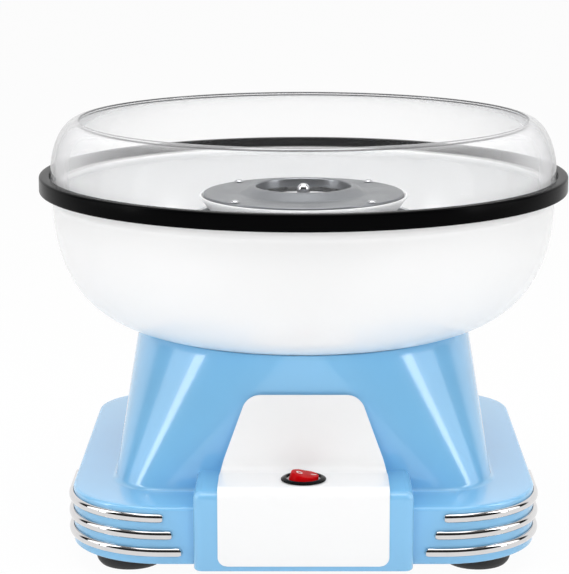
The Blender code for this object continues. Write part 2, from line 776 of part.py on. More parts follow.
def bend_onto_corner(station, middle):
    """A station on the flat front, moved back onto the corner's arc where the flat has ended."""
    place, outward, scale = station
    if outward.x > 0 or place.x <= middle:
        return station
    angle = math.asin((place.x - middle) / PLINTH_CORNER)
    outward = Vector((math.sin(angle), -math.cos(angle)))
    return Vector((middle, -middle)) + outward * PLINTH_CORNER, outward, scale


def chrome_strips(root):
    """Three strips round each front corner, each longer than the one above it."""
    for side_name, side in (("left", -1), ("right", 1)):
        for level_name, level in STRIP_LEVELS.items():
            name = f"chrome_strip_{side_name}_{level_name}"
            chrome_strip(name, side, level, STRIP_FRONT_ENDS[level_name], root)


def cord_gland(root):
    """The rubber bush in the rear wall that a supply cord would pass through."""
    wall = PLINTH_HALF
    outer, inner = wall + GLAND_STANDS_OUT, wall - GLAND_REACHES_IN
    chamfer = 0.0013
    outline = [
        (GLAND_BORE, outer), (GLAND_FLANGE - chamfer, outer), (GLAND_FLANGE, outer - chamfer),
        (GLAND_FLANGE, wall + GAP), (GLAND_RADIUS, wall + GAP), (GLAND_RADIUS, inner), (GLAND_BORE, inner),
    ]  # fmt: skip
    turned("cord_gland", outline, SMALL_STEPS, RUBBER, root, (0, 0, GLAND_HEIGHT), (-TURN / 4, 0, 0))


# Switch


def switch_housing(seat):
    """The switch's bezel and body, one black moulding with a well for the rocker."""
    outline = [
        (0, -SWITCH_WELL_DEPTH), (SWITCH_WELL_RADIUS, -SWITCH_WELL_DEPTH),
        (SWITCH_WELL_RADIUS, GAP + BEZEL_HEIGHT), (BEZEL_RADIUS - BEZEL_CHAMFER, GAP + BEZEL_HEIGHT),
        (BEZEL_RADIUS, GAP + BEZEL_HEIGHT / 2), (BEZEL_RADIUS, GAP), (SWITCH_BODY_RADIUS, GAP),
        (SWITCH_BODY_RADIUS, -SWITCH_BODY_DEPTH), (0, -SWITCH_BODY_DEPTH),
    ]  # fmt: skip
    housing = turned("switch_housing", outline, SWITCH_STEPS, BLACK, seat)
    reach = ROCKER_PIN_HALF + GAP
    pin_hole = cylinder(ROCKER_PIN_RADIUS + GAP, -reach, reach, HOLE_STEPS)
    bmesh.ops.rotate(pin_hole, matrix=Matrix.Rotation(TURN / 4, 3, "X"), verts=pin_hole.verts)
    bmesh.ops.translate(pin_hole, vec=(0, 0, ROCKER_PIVOT_HEIGHT), verts=pin_hole.verts)
    combine(housing, cutter("pin_hole", mesh_of(pin_hole, "pin_hole"), seat), "DIFFERENCE")
    top = -SWITCH_BODY_DEPTH - GAP
    half_x, half_y = TERMINAL_HALF
    for name, x in (("left", -TERMINAL_X), ("right", TERMINAL_X)):
        blade = block((x - half_x, -half_y, top - TERMINAL_LENGTH), (x + half_x, half_y, top))
        piece(f"switch_terminal_{name}", mesh_of(blade, f"switch_terminal_{name}"), BRASS, seat)


def rocker(pivot):
    """The red rocker with a shallow valley across its top, on a pin along the pivot."""
    bm = cylinder(ROCKER_RADIUS, ROCKER_BOTTOM, ROCKER_TOP, SWITCH_STEPS, top_radius=ROCKER_TOP_RADIUS)
    everything = [*bm.verts, *bm.edges, *bm.faces]
    bmesh.ops.bisect_plane(bm, geom=everything, plane_co=(0, 0, 0), plane_no=(1, 0, 0))
    for vert in bm.verts:
        if vert.co.z > 0:
            vert.co.z += abs(vert.co.x) * math.tan(ROCKER_VALLEY)
    made = piece("rocker", mesh_of(bm, "rocker"), RED, pivot)
    pin = cylinder(ROCKER_PIN_RADIUS, -ROCKER_PIN_HALF, ROCKER_PIN_HALF, SCREW_STEPS)
    bmesh.ops.rotate(pin, matrix=Matrix.Rotation(TURN / 4, 3, "X"), verts=pin.verts)
    combine(made, cutter("rocker_pin", mesh_of(pin, "rocker_pin"), pivot), "UNION")


# Motor


def motor(root):
    """The motor's fixed pieces, hung from the deck on two rubber dampers."""
    sheet = MOTOR_SHEET
    seat = BUSH_RADIUS + GAP
    collet_top = BRACKET_TOP + sheet
    can = [
        (seat, collet_top), (COLLET_RADIUS, collet_top), (COLLET_RADIUS, MOTOR_TOP),
        (MOTOR_RADIUS, MOTOR_TOP), (MOTOR_RADIUS, MOTOR_BOTTOM), (MOTOR_RADIUS - sheet, MOTOR_BOTTOM),
        (MOTOR_RADIUS - sheet, MOTOR_TOP - sheet), (seat, MOTOR_TOP - sheet),
    ]  # fmt: skip
    turned("motor_can", can, MOTOR_STEPS, STEEL, root)
    inside = MOTOR_RADIUS - sheet - GAP
    cap_top = MOTOR_BOTTOM + CAP_THICKNESS
    turned("motor_end_cap", washer(seat, inside, MOTOR_BOTTOM, cap_top), MOTOR_STEPS, BLACK, root)
    upper = washer(BORE_RADIUS, BUSH_RADIUS, MOTOR_TOP - sheet, collet_top)
    turned("upper_bush", upper, SMALL_STEPS, BRASS, root)
    lower = washer(BORE_RADIUS, BUSH_RADIUS, MOTOR_BOTTOM, cap_top)
    turned("lower_bush", lower, SMALL_STEPS, BRASS, root)
    for name, x, angle in (("left", -1, TURN / 2), ("right", 1, 0.0)):
        magnet = sector(MAGNET_INNER, inside, *MAGNET_SPAN, angle, MAGNET_SWEEP, 12)
        piece(f"motor_magnet_{name}", mesh_of(magnet, f"motor_magnet_{name}"), FERRITE, root)
        near, far = sorted((x * BRUSH_NEAR, x * BRUSH_FAR))
        brush = block((near, -BRUSH_HALF, cap_top + GAP), (far, BRUSH_HALF, BRUSH_TOP))
        piece(f"motor_brush_{name}", mesh_of(brush, f"motor_brush_{name}"), CARBON, root)
    disc = washer(COLLET_RADIUS + GAP, BRACKET_RADIUS, BRACKET_BOTTOM, BRACKET_TOP)
    bracket = turned("motor_bracket", disc, SWITCH_STEPS, STEEL, root)
    low, high = BRACKET_BOTTOM - LAP, BRACKET_TOP + LAP
    holes = [cylinder(SCREW_HOLE, low, high, HOLE_STEPS, p) for p in screw_places().values()]
    combine(bracket, cutter("bracket_holes", join(holes, "bracket_holes")), "DIFFERENCE")
    damper = washer(SCREW_HOLE, DAMPER_RADIUS, BRACKET_TOP + GAP, DECK - WALL - GAP)
    head = BRACKET_BOTTOM - GAP
    tip = DECK + CUP_SHEET
    screw = [
        (0, tip), (SCREW_RADIUS, tip), (SCREW_RADIUS, head), (SCREW_HEAD, head),
        (SCREW_HEAD - 0.0004, head - 0.002), (0, head - 0.0022),
    ]  # fmt: skip
    for name, place in screw_places().items():
        turned(f"motor_damper_{name}", damper, SMALL_STEPS, RUBBER, root, (*place, 0))
        turned(f"bracket_screw_{name}", screw, SCREW_STEPS, STEEL, root, (*place, 0))


def spindle_drive(spindle):
    """The shaft with the motor's rotor and commutator."""
    shaft = [
        (0, THREAD_TOP), (THREAD_RADIUS, THREAD_TOP), (THREAD_RADIUS, SHAFT_SHOULDER),
        (SHAFT_RADIUS, SHAFT_SHOULDER), (SHAFT_RADIUS, SHAFT_BOTTOM), (0, SHAFT_BOTTOM),
    ]  # fmt: skip
    turned("shaft", shaft, SMALL_STEPS, STEEL, spindle)
    turned("rotor", washer(BORE_RADIUS, ROTOR_RADIUS, *ROTOR_SPAN), 20, STEEL, spindle)
    segments = washer(BORE_RADIUS, COMMUTATOR_RADIUS, *COMMUTATOR_SPAN)
    turned("commutator", segments, SMALL_STEPS, BRASS, spindle)


# Heater


def heater(root):
    """The shield cup, the reflector in it, and the heating element with its bushes and cut-out."""
    floor = DECK + GAP
    rim, rim_low = CUP_RADIUS + CUP_ROLL, CUP_TOP - CUP_ROLL
    cup = [
        (CUP_HOLE, floor + CUP_SHEET), (CUP_LOWER_RADIUS - CUP_SHEET, floor + CUP_SHEET),
        (CUP_LOWER_RADIUS - CUP_SHEET, CUP_LEDGE), (CUP_RADIUS - CUP_SHEET, CUP_LEDGE),
        (CUP_RADIUS - CUP_SHEET, CUP_TOP), (rim, CUP_TOP), (rim, rim_low), (CUP_RADIUS, rim_low),
        (CUP_RADIUS, CUP_LEDGE - CUP_SHEET), (CUP_LOWER_RADIUS, CUP_LEDGE - CUP_SHEET),
        (CUP_LOWER_RADIUS, floor), (CUP_HOLE, floor),
    ]  # fmt: skip
    made = turned("heater_cup", cup, MEDIUM_STEPS, ALUMINIUM, root)
    low, high = floor - LAP / 2, floor + LAP
    holes = [cylinder(SCREW_HOLE, low, high, HOLE_STEPS, p) for p in screw_places().values()]
    holes += [cylinder(LEAD_HOLE, low, high, HOLE_STEPS, p) for p in heater_leg_places().values()]
    combine(made, cutter("cup_holes", join(holes, "cup_holes")), "DIFFERENCE")
    plate_low = CUP_LEDGE + GAP
    plate_top = plate_low + REFLECTOR_SHEET
    disc = washer(CUP_HOLE, CUP_RADIUS - CUP_SHEET - 1.3 * GAP, plate_low, plate_top)
    plate = turned("heat_reflector", disc, MEDIUM_STEPS, ALUMINIUM, root)
    low, high = plate_low - LAP, plate_top + LAP
    holes = [cylinder(INSULATOR_RADIUS + GAP, low, high, HOLE_STEPS, p) for p in heater_leg_places().values()]
    combine(plate, cutter("reflector_holes", join(holes, "reflector_holes")), "DIFFERENCE")
    bore = HEATER_TUBE + GAP
    flange = plate_top + GAP
    bush_top, bush_low = flange + 0.002, plate_low - 0.004
    bush = [
        (bore, bush_top), (INSULATOR_FLANGE - 0.0004, bush_top), (INSULATOR_FLANGE, flange),
        (INSULATOR_RADIUS, flange), (INSULATOR_RADIUS, bush_low), (bore, bush_low),
    ]  # fmt: skip
    for name, place in heater_leg_places().items():
        turned(f"heater_bush_{name}", bush, SMALL_STEPS, CERAMIC, root, (*place, 0))
    tube("heater_element", heater_route(), HEATER_TUBE, STEEL, root, 2)
    low, high = (*CUTOUT_LOW, plate_low - CUTOUT_HEIGHT), (*CUTOUT_HIGH, plate_low - GAP)
    cut_out = rounded_block(low, high, 0.002, 2)
    piece("thermal_cutout", mesh_of(cut_out, "thermal_cutout"), CERAMIC, root)


def heater_route():
    """Up one leg, round the ring by the front, and down the other leg."""
    first = TURN / 4 + HEATER_LEG_ANGLE
    turn_in = HEATER_BEND / HEATER_RADIUS
    arc = TURN - 2 * HEATER_LEG_ANGLE
    leg = []
    for i in range(4):
        bend = TURN / 4 * i / 3
        angle = first + turn_in * (1 - math.cos(bend))
        leg.append((angle, HEATER_HEIGHT - HEATER_BEND * (1 - math.sin(bend))))
    ring = [(first + turn_in + (arc - 2 * turn_in) * i / 24, HEATER_HEIGHT) for i in range(1, 24)]
    back = [(2 * first + arc - angle, height) for angle, height in reversed(leg)]
    stations = [(first, HEATER_LEG_BOTTOM), *leg, *ring, *back, (first + arc, HEATER_LEG_BOTTOM)]
    return [around(HEATER_RADIUS, angle, height) for angle, height in stations]


# Spinning head


def spinning_head(spindle):
    """The heated pan, the slotted screen, the top plate with its sugar well, and what holds them."""
    underside = PAN_TROUGH - PAN_SHEET
    rim_inside = PAN_RADIUS - PAN_RIM_SHEET
    pan = [
        (HUB_BORE, WELL_FLOOR), (WELL_RADIUS, WELL_FLOOR), (PAN_TROUGH_INNER, PAN_TROUGH),
        (PAN_TROUGH_OUTER, PAN_TROUGH), (rim_inside - 0.0005, PAN_RIM_FOOT), (rim_inside, PAN_RIM_TOP),
        (PAN_RADIUS, PAN_RIM_TOP), (PAN_RADIUS, PAN_RIM_FOOT), (PAN_TROUGH_OUTER + 0.0015, underside),
        (PAN_TROUGH_INNER - 0.001, underside), (WELL_RADIUS - 0.001, WELL_FLOOR - PAN_SHEET),
        (HUB_RADIUS, WELL_FLOOR - PAN_SHEET), (HUB_RADIUS, HUB_BOTTOM), (HUB_BORE, HUB_BOTTOM),
    ]  # fmt: skip
    lower = turned("head_pan", pan, MEDIUM_STEPS, ALUMINIUM, spindle)
    under = HEAD_PLANE - HEAD_SHEET
    chamfer = 0.0005
    cone_radius, cone_height = CONE_TOP
    plate = [
        (HEAD_LIP_RADIUS, HEAD_LIP_TOP), CONE_TOP, (CONE_FOOT_RADIUS, HEAD_PLANE),
        (HEAD_RADIUS - chamfer, HEAD_PLANE), (HEAD_RADIUS, HEAD_PLANE - chamfer), (HEAD_RADIUS, under),
        (CONE_FOOT_RADIUS + 0.001, under), (cone_radius, cone_height - CONE_WALL),
        (WELL_WALL_INNER + 0.0016, WELL_WALL_FOOT), (WELL_WALL_INNER, WELL_WALL_FOOT),
        (WELL_WALL_INNER + 0.0004, cone_height - 0.0002),
    ]  # fmt: skip
    upper = turned("head_top", plate, MEDIUM_STEPS, ALUMINIUM, spindle)
    places = [around(HEAD_SCREW_CIRCLE, TURN * (i + 0.5) / 4) for i in range(4)]
    low, high = underside - LAP, HEAD_PLANE + LAP
    holes = [cylinder(HEAD_SCREW_HOLE, low, high, SCREW_STEPS, place) for place in places]
    drill = cutter("head_holes", join(holes, "head_holes"), spindle)
    combine(lower, drill, "DIFFERENCE")
    combine(upper, drill, "DIFFERENCE")
    band = washer(SCREEN_RADIUS - SCREEN_SHEET, SCREEN_RADIUS, PAN_TROUGH + GAP, under - GAP)
    screen = turned("floss_screen", band, MEDIUM_STEPS, STEEL, spindle)
    near, far = SCREEN_RADIUS - LAP / 2, SCREEN_RADIUS + LAP / 2
    slots = []
    for i in range(SCREEN_SLOTS):
        slot = block((near, -SLOT_HALF, SLOT_SPAN[0]), (far, SLOT_HALF, SLOT_SPAN[1]))
        place = Matrix.Rotation(TURN * (i + 0.5) / SCREEN_SLOTS, 3, "Z")
        bmesh.ops.rotate(slot, matrix=place, verts=slot.verts)
        slots.append(slot)
    combine(screen, cutter("screen_slots", join(slots, "screen_slots"), spindle), "DIFFERENCE")
    top, tip = HEAD_PLANE + GAP, PAN_TROUGH - 0.0005
    screw = [
        (0, top + 0.0013), (0.0017, top + 0.0010), (0.0026, top), (HEAD_SCREW_RADIUS, top),
        (HEAD_SCREW_RADIUS, tip), (0, tip),
    ]  # fmt: skip
    for number, place in enumerate(places, 1):
        turned(f"head_screw_{number}", screw, HOLE_STEPS, STEEL, spindle, (*place, 0))
    seat = WELL_FLOOR + GAP
    nut = [
        (0, NUT_TOP), (0.0018, NUT_TOP - 0.0005), (0.0032, NUT_TOP - 0.0020), (NUT_RADIUS, NUT_TOP - 0.0040),
        (NUT_RADIUS, seat), (HUB_BORE, seat), (HUB_BORE, THREAD_TOP + GAP), (0, THREAD_TOP + GAP),
    ]  # fmt: skip
    turned("head_nut", nut, HOLE_STEPS, STEEL, spindle)


# Bowl and guard


def bowl_outline(radius, pole, steps, until):
    """The bowl's side from its shoulder down to a radius, as points of a superellipse."""
    span = radius - BOWL_POLE_RADIUS
    drop = BOWL_SHOULDER - pole
    last = math.acos(((until - BOWL_POLE_RADIUS) / span) ** (1 / BOWL_SIDE_POWER))
    points = []
    for i in range(steps + 1):
        angle = last * i / steps
        points.append(
            (
                BOWL_POLE_RADIUS + span * math.cos(angle) ** BOWL_SIDE_POWER,
                BOWL_SHOULDER - drop * math.sin(angle) ** BOWL_BASE_POWER,
            )
        )
    return points


def bowl(lock):
    """The white floss bowl, with a flange for the ring and tabs that lock under the spigot's lugs."""
    outside = bowl_outline(BOWL_RADIUS, BOWL_POLE, 8, BOWL_FLAT_RADIUS)
    inside = bowl_outline(BOWL_RADIUS - BOWL_WALL, BOWL_POLE + BOWL_WALL, 7, COLLAR_RADIUS)
    flat = outside[-1][1]
    section = [(FLANGE_INNER, FLANGE_TOP), (FLANGE_RADIUS, FLANGE_TOP), (FLANGE_RADIUS, FLANGE_BOTTOM)]
    section += [(BOWL_RADIUS, FLANGE_BOTTOM), *outside, (BOWL_HOLE_RADIUS, flat)]
    section += [(BOWL_HOLE_RADIUS, COLLAR_TOP), (COLLAR_RADIUS, COLLAR_TOP), *reversed(inside)]
    section.append((FLANGE_INNER, FLANGE_BOTTOM))
    made = turned("bowl", section, LARGE_STEPS, WHITE, lock)
    tabs = [
        sector(TAB_RADIUS, BOWL_HOLE_RADIUS + 0.001, flat + GAP, TAB_TOP, angle, LOCK_SWEEP, 4)
        for angle in lock_angles()
    ]
    combine(made, cutter("lock_tabs", join(tabs, "lock_tabs"), lock), "UNION")


def rim_ring(lock):
    """The black bumper ring that snaps over the bowl's flange and holds the guard's foot."""
    mouth = GUARD_RADIUS + 0.0008
    groove = FLANGE_RADIUS + GAP
    section = [
        (mouth, RIM_TOP), (RIM_RADIUS - 0.0020, RIM_TOP), (RIM_RADIUS - 0.0006, RIM_TOP - 0.0006),
        (RIM_RADIUS, RIM_TOP - 0.0020), (RIM_RADIUS, RIM_BOTTOM + 0.0012), (RIM_RADIUS - 0.0012, RIM_BOTTOM),
        (BOWL_RADIUS + 0.0006, RIM_BOTTOM), (BOWL_RADIUS + 0.0006, FLANGE_BOTTOM - GAP),
        (groove, FLANGE_BOTTOM - GAP), (groove, FLANGE_TOP + GAP), (mouth, FLANGE_TOP + GAP),
    ]  # fmt: skip
    turned("rim_ring", section, LARGE_STEPS, BLACK, lock)


def splash_guard(lift):
    """The clear guard: upright where it stands in the ring, drawn in to its open mouth."""
    foot = FLANGE_TOP + GAP
    reach = GUARD_RADIUS - GUARD_MOUTH_RADIUS
    rise = GUARD_TOP - GUARD_SHOULDER
    outside, inside = [], []
    for i in range(7):
        angle = TURN / 4 * i / 6
        across, up = math.cos(angle), math.sin(angle)
        outside.append((GUARD_MOUTH_RADIUS + reach * across, GUARD_SHOULDER + rise * up))
        inside.append(
            (GUARD_MOUTH_RADIUS + (reach - GUARD_WALL) * across, GUARD_SHOULDER + (rise - GUARD_WALL) * up)
        )
    section = [*reversed(outside), (GUARD_RADIUS, foot), (GUARD_RADIUS - GUARD_WALL, foot), *inside]
    turned("splash_guard", section, LARGE_STEPS, CLEAR, lift)


# Wiring


def leads(root):
    """The insulated wires inside the housing, between gland, switch, motor and heater."""
    legs = heater_leg_places()
    tail_z = PANEL_SECTION[1][1] - SWITCH_BODY_DEPTH - TERMINAL_LENGTH - 0.0025
    gland_y = PLINTH_HALF - GLAND_REACHES_IN - 0.002
    low = 0.018
    below_leg = HEATER_LEG_BOTTOM - 0.0005
    brush_tail = MOTOR_BOTTOM - 0.0015
    routes = {
        "lead_supply": [
            (-0.002, gland_y, GLAND_HEIGHT), (-0.010, 0.100, 0.022), (-0.045, 0.050, low),
            (-0.050, -0.020, low), (-0.030, -0.090, low), (-0.0055, SWITCH_Y + 0.004, tail_z - 0.006),
            (-TERMINAL_X, SWITCH_Y, tail_z),
        ],
        "lead_motor": [
            (TERMINAL_X, SWITCH_Y, tail_z), (0.0055, SWITCH_Y + 0.004, tail_z - 0.006), (0.018, -0.090, low),
            (0.030, -0.030, 0.024), (0.014, -0.004, 0.040), (0.012, 0.0, brush_tail),
        ],
        "lead_heater_live": [
            (*legs["left"], below_leg), (*legs["left"], 0.132), (*legs["left"], 0.108),
            (-0.020, 0.046, 0.085), (-0.028, 0.034, 0.056), (-0.016, 0.008, 0.040), (-0.012, 0.0, brush_tail),
        ],
        "lead_heater_neutral": [
            (*legs["right"], below_leg), (*legs["right"], 0.132), (*legs["right"], 0.108),
            (0.020, 0.050, 0.080), (0.026, 0.070, 0.050), (0.014, 0.095, 0.028),
            (0.002, gland_y, GLAND_HEIGHT),
        ],
    }  # fmt: skip
    for name, points in routes.items():
        tube(name, smooth_route(points, 3), LEAD_RADIUS, BLACK, root, 1)


def build():
    """Make every piece of the machine."""
    clear_scene()
    root = empty("machine")
    seat = empty("switch_seat", (0, SWITCH_Y, PANEL_SECTION[1][1]), parent=root)
    pivot = empty("rocker_pivot", (0, 0, ROCKER_PIVOT_HEIGHT), (0, ROCKER_TILT, 0), seat)
    spindle = empty("spindle", parent=root)
    lock = empty("bowl_lock", parent=root)
    lift = empty("guard_lift", parent=lock)
    drill = switch_hole(seat)
    base_shell(root, drill)
    bottom_plate(root)
    feet(root)
    front_panel(root, drill)
    chrome_strips(root)
    cord_gland(root)
    switch_housing(seat)
    rocker(pivot)
    motor(root)
    heater(root)
    leads(root)
    spindle_drive(spindle)
    spinning_head(spindle)
    bowl(lock)
    rim_ring(lock)
    splash_guard(lift)


build()
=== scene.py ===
"""Cotton candy machine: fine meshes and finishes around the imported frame, with its studio and camera.

Metres, +Z up, front towards -Y. The origin is on the table, under the spindle.
"""

from __future__ import annotations

import logging
import math
from abc import ABC, abstractmethod
from collections.abc import Callable, Iterable, Sequence
from dataclasses import dataclass, field
from enum import Enum
from functools import partial
from typing import NamedTuple

import bmesh
import bpy
from mathutils import Matrix, Vector

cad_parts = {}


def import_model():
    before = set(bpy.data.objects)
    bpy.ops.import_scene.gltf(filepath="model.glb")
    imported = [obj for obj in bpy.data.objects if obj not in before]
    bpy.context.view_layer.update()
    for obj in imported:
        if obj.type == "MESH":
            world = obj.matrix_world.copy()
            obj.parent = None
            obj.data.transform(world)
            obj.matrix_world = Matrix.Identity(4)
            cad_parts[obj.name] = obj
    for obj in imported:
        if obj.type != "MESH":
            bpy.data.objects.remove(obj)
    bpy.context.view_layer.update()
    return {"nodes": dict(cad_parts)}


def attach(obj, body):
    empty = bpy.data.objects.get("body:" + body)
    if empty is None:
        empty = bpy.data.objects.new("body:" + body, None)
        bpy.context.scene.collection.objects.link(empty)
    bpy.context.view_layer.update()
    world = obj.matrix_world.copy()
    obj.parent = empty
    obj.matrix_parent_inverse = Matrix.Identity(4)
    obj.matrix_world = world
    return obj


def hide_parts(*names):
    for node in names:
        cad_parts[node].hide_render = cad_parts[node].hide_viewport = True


LOG = logging.getLogger("cotton_candy_machine")
TURN = 2 * math.pi
TOUCH = 0.0003  # gap kept between two pieces that touch
WELD = 1e-6
SHARP = math.radians(32)
FINE_STEPS = 224
ROUND_STEPS = 128
SMALL_STEPS = 64
SCREW_STEPS = 40
PIN_STEPS = 24
SECTOR_STEPS = 12
ROUNDING_STEPS = 5

# Sizes that more than one class uses
LOCK_COUNT = 3
LOCK_START = TURN / 12
GLAND_HEIGHT = 0.026
GUARD_MOUTH = 0.1268
GUARD_TOP = 0.2331
GUARD_WALL = 0.0022

Point = tuple[float, float]
Corner = tuple[float, ...]  # radius, height and, where it is rounded, the size of its rounding
Colour = tuple[float, float, float]
Reach = Callable[[float], float]  # direction about the axis to distance from it
Ring = tuple[float, Reach]  # a height, and the outline there
EdgeTest = Callable[[bmesh.types.BMEdge], bool]


class Body(Enum):
    """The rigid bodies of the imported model."""

    BASE = "base"
    SPINNER = "spinner"
    ROCKER = "rocker"
    BOWL = "bowl"
    GUARD = "guard"


class Slot(Enum):
    """The record's material slots."""

    BLUE = "blue_plastic"
    WHITE = "white_plastic"
    BLACK = "black_plastic"
    RED = "red_plastic"
    CLEAR = "clear_plastic"
    CHROME = "chrome"
    ALUMINIUM = "aluminium"
    STEEL = "steel"
    RUBBER = "rubber"


class Side(Enum):
    """Left and right, as seen from the front, with the sign of X."""

    LEFT = -1
    RIGHT = 1

    @property
    def label(self) -> str:
        """The side's name as used in node names."""
        return self.name.lower()


class Rounding(NamedTuple):
    """A rounded edge: its size and the number of its facets."""

    size: float
    steps: int


@dataclass(frozen=True)
class Pattern:
    """A noise over a surface.

    Args:
        scale: features in a metre.
        detail: layers of finer noise.
        roughness: how strong the finer layers are.
        span: the levels between which it goes from none to all, where it is sharpened.
    """

    scale: float
    detail: float = 2.0
    roughness: float = 0.5
    span: Point | None = None


RING_PITCH = 0.00035
BANDS_PER_RING = 0.12
CLOUDS = Pattern(14.0, detail=3.0)
FINGER_MARKS = Pattern(46.0, detail=5.0, roughness=0.62, span=(0.42, 0.74))
MOULD_PEEL = Pattern(900.0)
MOULD_WAVES = Pattern(38.0, detail=1.0)
WIPE_MARKS = Pattern(60.0, detail=5.0, roughness=0.65, span=(0.5, 0.8))
SHEET_WAVES = Pattern(30.0, detail=1.0)
TOOL_RINGS = Pattern(1 / RING_PITCH, roughness=0.7)
TOOL_BANDS = Pattern(BANDS_PER_RING / RING_PITCH, roughness=0.6)
STAINS = Pattern(55.0, detail=4.0, roughness=0.6, span=(0.35, 0.75))
SMUDGES = Pattern(120.0, detail=4.0, roughness=0.6, span=(0.4, 0.8))
DRAWN_GRAIN = Pattern(2600.0)
DUST = Pattern(70.0, detail=4.0, roughness=0.65, span=(0.45, 0.8))


class Value:
    """A shader socket that takes part in Python expressions."""

    def __init__(self, graph: Graph, socket: bpy.types.NodeSocket) -> None:
        """Wrap an output socket of a graph."""
        self.graph = graph
        self.socket = socket

    def _math(self, operation: str, first: Value | float, second: Value | float) -> Value:
        """Add one Math node to the graph."""
        return self.graph.value("ShaderNodeMath", {"operation": operation}, {0: first, 1: second})

    def __add__(self, other: Value | float) -> Value:
        """Sum."""
        return self._math("ADD", self, other)

    __radd__ = __add__

    def __rsub__(self, other: float) -> Value:
        """Difference from a number."""
        return self._math("SUBTRACT", other, self)

    def __mul__(self, other: Value | float) -> Value:
        """Product."""
        return self._math("MULTIPLY", self, other)

    __rmul__ = __mul__

    def __pow__(self, other: float) -> Value:
        """Power."""
        return self._math("POWER", self, other)

    def at_most(self, other: Value | float) -> Value:
        """The smaller of two values."""
        return self._math("MINIMUM", self, other)

    def at_least(self, other: Value | float) -> Value:
        """The larger of two values."""
        return self._math("MAXIMUM", self, other)

    def between(self, low: float, high: float) -> Value:
        """Zero below low, one above high, and smooth in between."""
        settings = {"interpolation_type": "SMOOTHSTEP"}
        return self.graph.value("ShaderNodeMapRange", settings, {0: self, 1: low, 2: high})


class Graph:
    """The node tree of one material or of the world."""

    def __init__(self, tree: bpy.types.NodeTree) -> None:
        """Start with an empty tree."""
        self.tree = tree
        self.tree.nodes.clear()

    @classmethod
    def of_material(cls, name: str) -> tuple[bpy.types.Material, Graph]:
        """A new material and its graph.

        Args:
            name: the material's name.

        Returns:
            The material, and the graph that its shader is made in.
        """
        material = bpy.data.materials.new(name)
        material.use_nodes = True
        return material, cls(material.node_tree)

    def node(self, kind: str, settings: dict | None = None, sockets: dict | None = None) -> bpy.types.Node:
        """Add a node.

        Args:
            kind: the node's type.
            settings: attributes, set first.
            sockets: input name or index to a number, colour, vector, Value or node, for its first output.

        Returns:
            The new node.
        """
        made = self.tree.nodes.new(kind)
        for key, setting in (settings or {}).items():
            setattr(made, key, setting)
        for key, wanted in (sockets or {}).items():
            if isinstance(wanted, bpy.types.Node):
                self.tree.links.new(wanted.outputs[0], made.inputs[key])
            elif isinstance(wanted, Value):
                self.tree.links.new(wanted.socket, made.inputs[key])
            else:
                made.inputs[key].default_value = wanted
        return made

    def value(
        self, kind: str, settings: dict | None = None, sockets: dict | None = None, output: int | str = 0
    ) -> Value:
        """Add a node and wrap one of its outputs."""
        return Value(self, self.node(kind, settings, sockets).outputs[output])

    def place(self) -> Value:
        """The piece's own coordinates, in metres."""
        return self.value("ShaderNodeTexCoord", output="Object")

    def axes(self, place: Value) -> list[Value]:
        """The three numbers of a vector."""
        split = self.node("ShaderNodeSeparateXYZ", sockets={0: place})
        return [Value(self, socket) for socket in split.outputs]

    def scaled(self, place: Value, scale: tuple[float, float, float]) -> Value:
        """A vector with each axis multiplied."""
        return self.value("ShaderNodeVectorMath", {"operation": "MULTIPLY"}, {0: place, 1: scale})

    def noise(self, place: Value, pattern: Pattern) -> Value:
        """A pattern over a surface.

        Args:
            place: the coordinates that it follows.
            pattern: its scale and strength.

        Returns:
            The noise, about one half where the pattern isn't sharpened.
        """
        sockets = {
            "Vector": place,
            "Scale": pattern.scale,
            "Detail": pattern.detail,
            "Roughness": pattern.roughness,
        }
        noise = self.value("ShaderNodeTexNoise", sockets=sockets)
        return noise.between(*pattern.span) if pattern.span else noise

    def mix(self, share: Value, first: Value | Colour, second: Value | Colour) -> Value:
        """Blend two colours.

        Args:
            share: how much of the second.
            first: the colour at zero.
            second: the colour at one.

        Returns:
            The blend.
        """
        ends = [end if isinstance(end, Value) else (*end, 1.0) for end in (first, second)]
        sockets = {0: share, 6: ends[0], 7: ends[1]}
        return self.value("ShaderNodeMix", {"data_type": "RGBA"}, sockets, output=2)

    def bump(self, height: Value, strength: float, distance: float) -> Value:
        """A normal bent by a height in units of distance."""
        sockets = {"Height": height, "Strength": strength, "Distance": distance}
        return self.value("ShaderNodeBump", sockets=sockets)

    def principled(self, sockets: dict) -> bpy.types.Node:
        """Add the Principled shader."""
        return self.node("ShaderNodeBsdfPrincipled", sockets=sockets)

    def blend(self, share: Value, first: bpy.types.Node, second: bpy.types.Node) -> bpy.types.Node:
        """Add a mix of two shaders."""
        return self.node("ShaderNodeMixShader", sockets={0: share, 1: first, 2: second})

    def rays(self, *kinds: str) -> Value:
        """One for rays of any of the kinds named, as Light Path names them, and zero for others."""
        path = self.node("ShaderNodeLightPath")
        first, *others = [Value(self, path.outputs[kind]) for kind in kinds]
        return sum(others, first).at_most(1.0)

    def surface(self, shader: bpy.types.Node) -> None:
        """End a material's tree."""
        self.node("ShaderNodeOutputMaterial", sockets={"Surface": shader})


@dataclass(frozen=True)
class Finish(ABC):
    """The look of one stuff that pieces are made of."""

    name: str
    colour: Colour
    roughness: float

    def material(self) -> bpy.types.Material:
        """Make the material."""
        material, graph = Graph.of_material(self.name)
        graph.surface(self.shader(graph, graph.place()))
        return material

    def tone(self, factor: float) -> Colour:
        """The colour made lighter or darker, kept within range."""
        return tuple(min(1.0, channel * factor) for channel in self.colour)

    @abstractmethod
    def shader(self, graph: Graph, place: Value) -> bpy.types.Node:
        """Add the finish's nodes.

        Args:
            graph: the material's graph.
            place: the piece's own coordinates.

        Returns:
            The shader that the surface shows.
        """


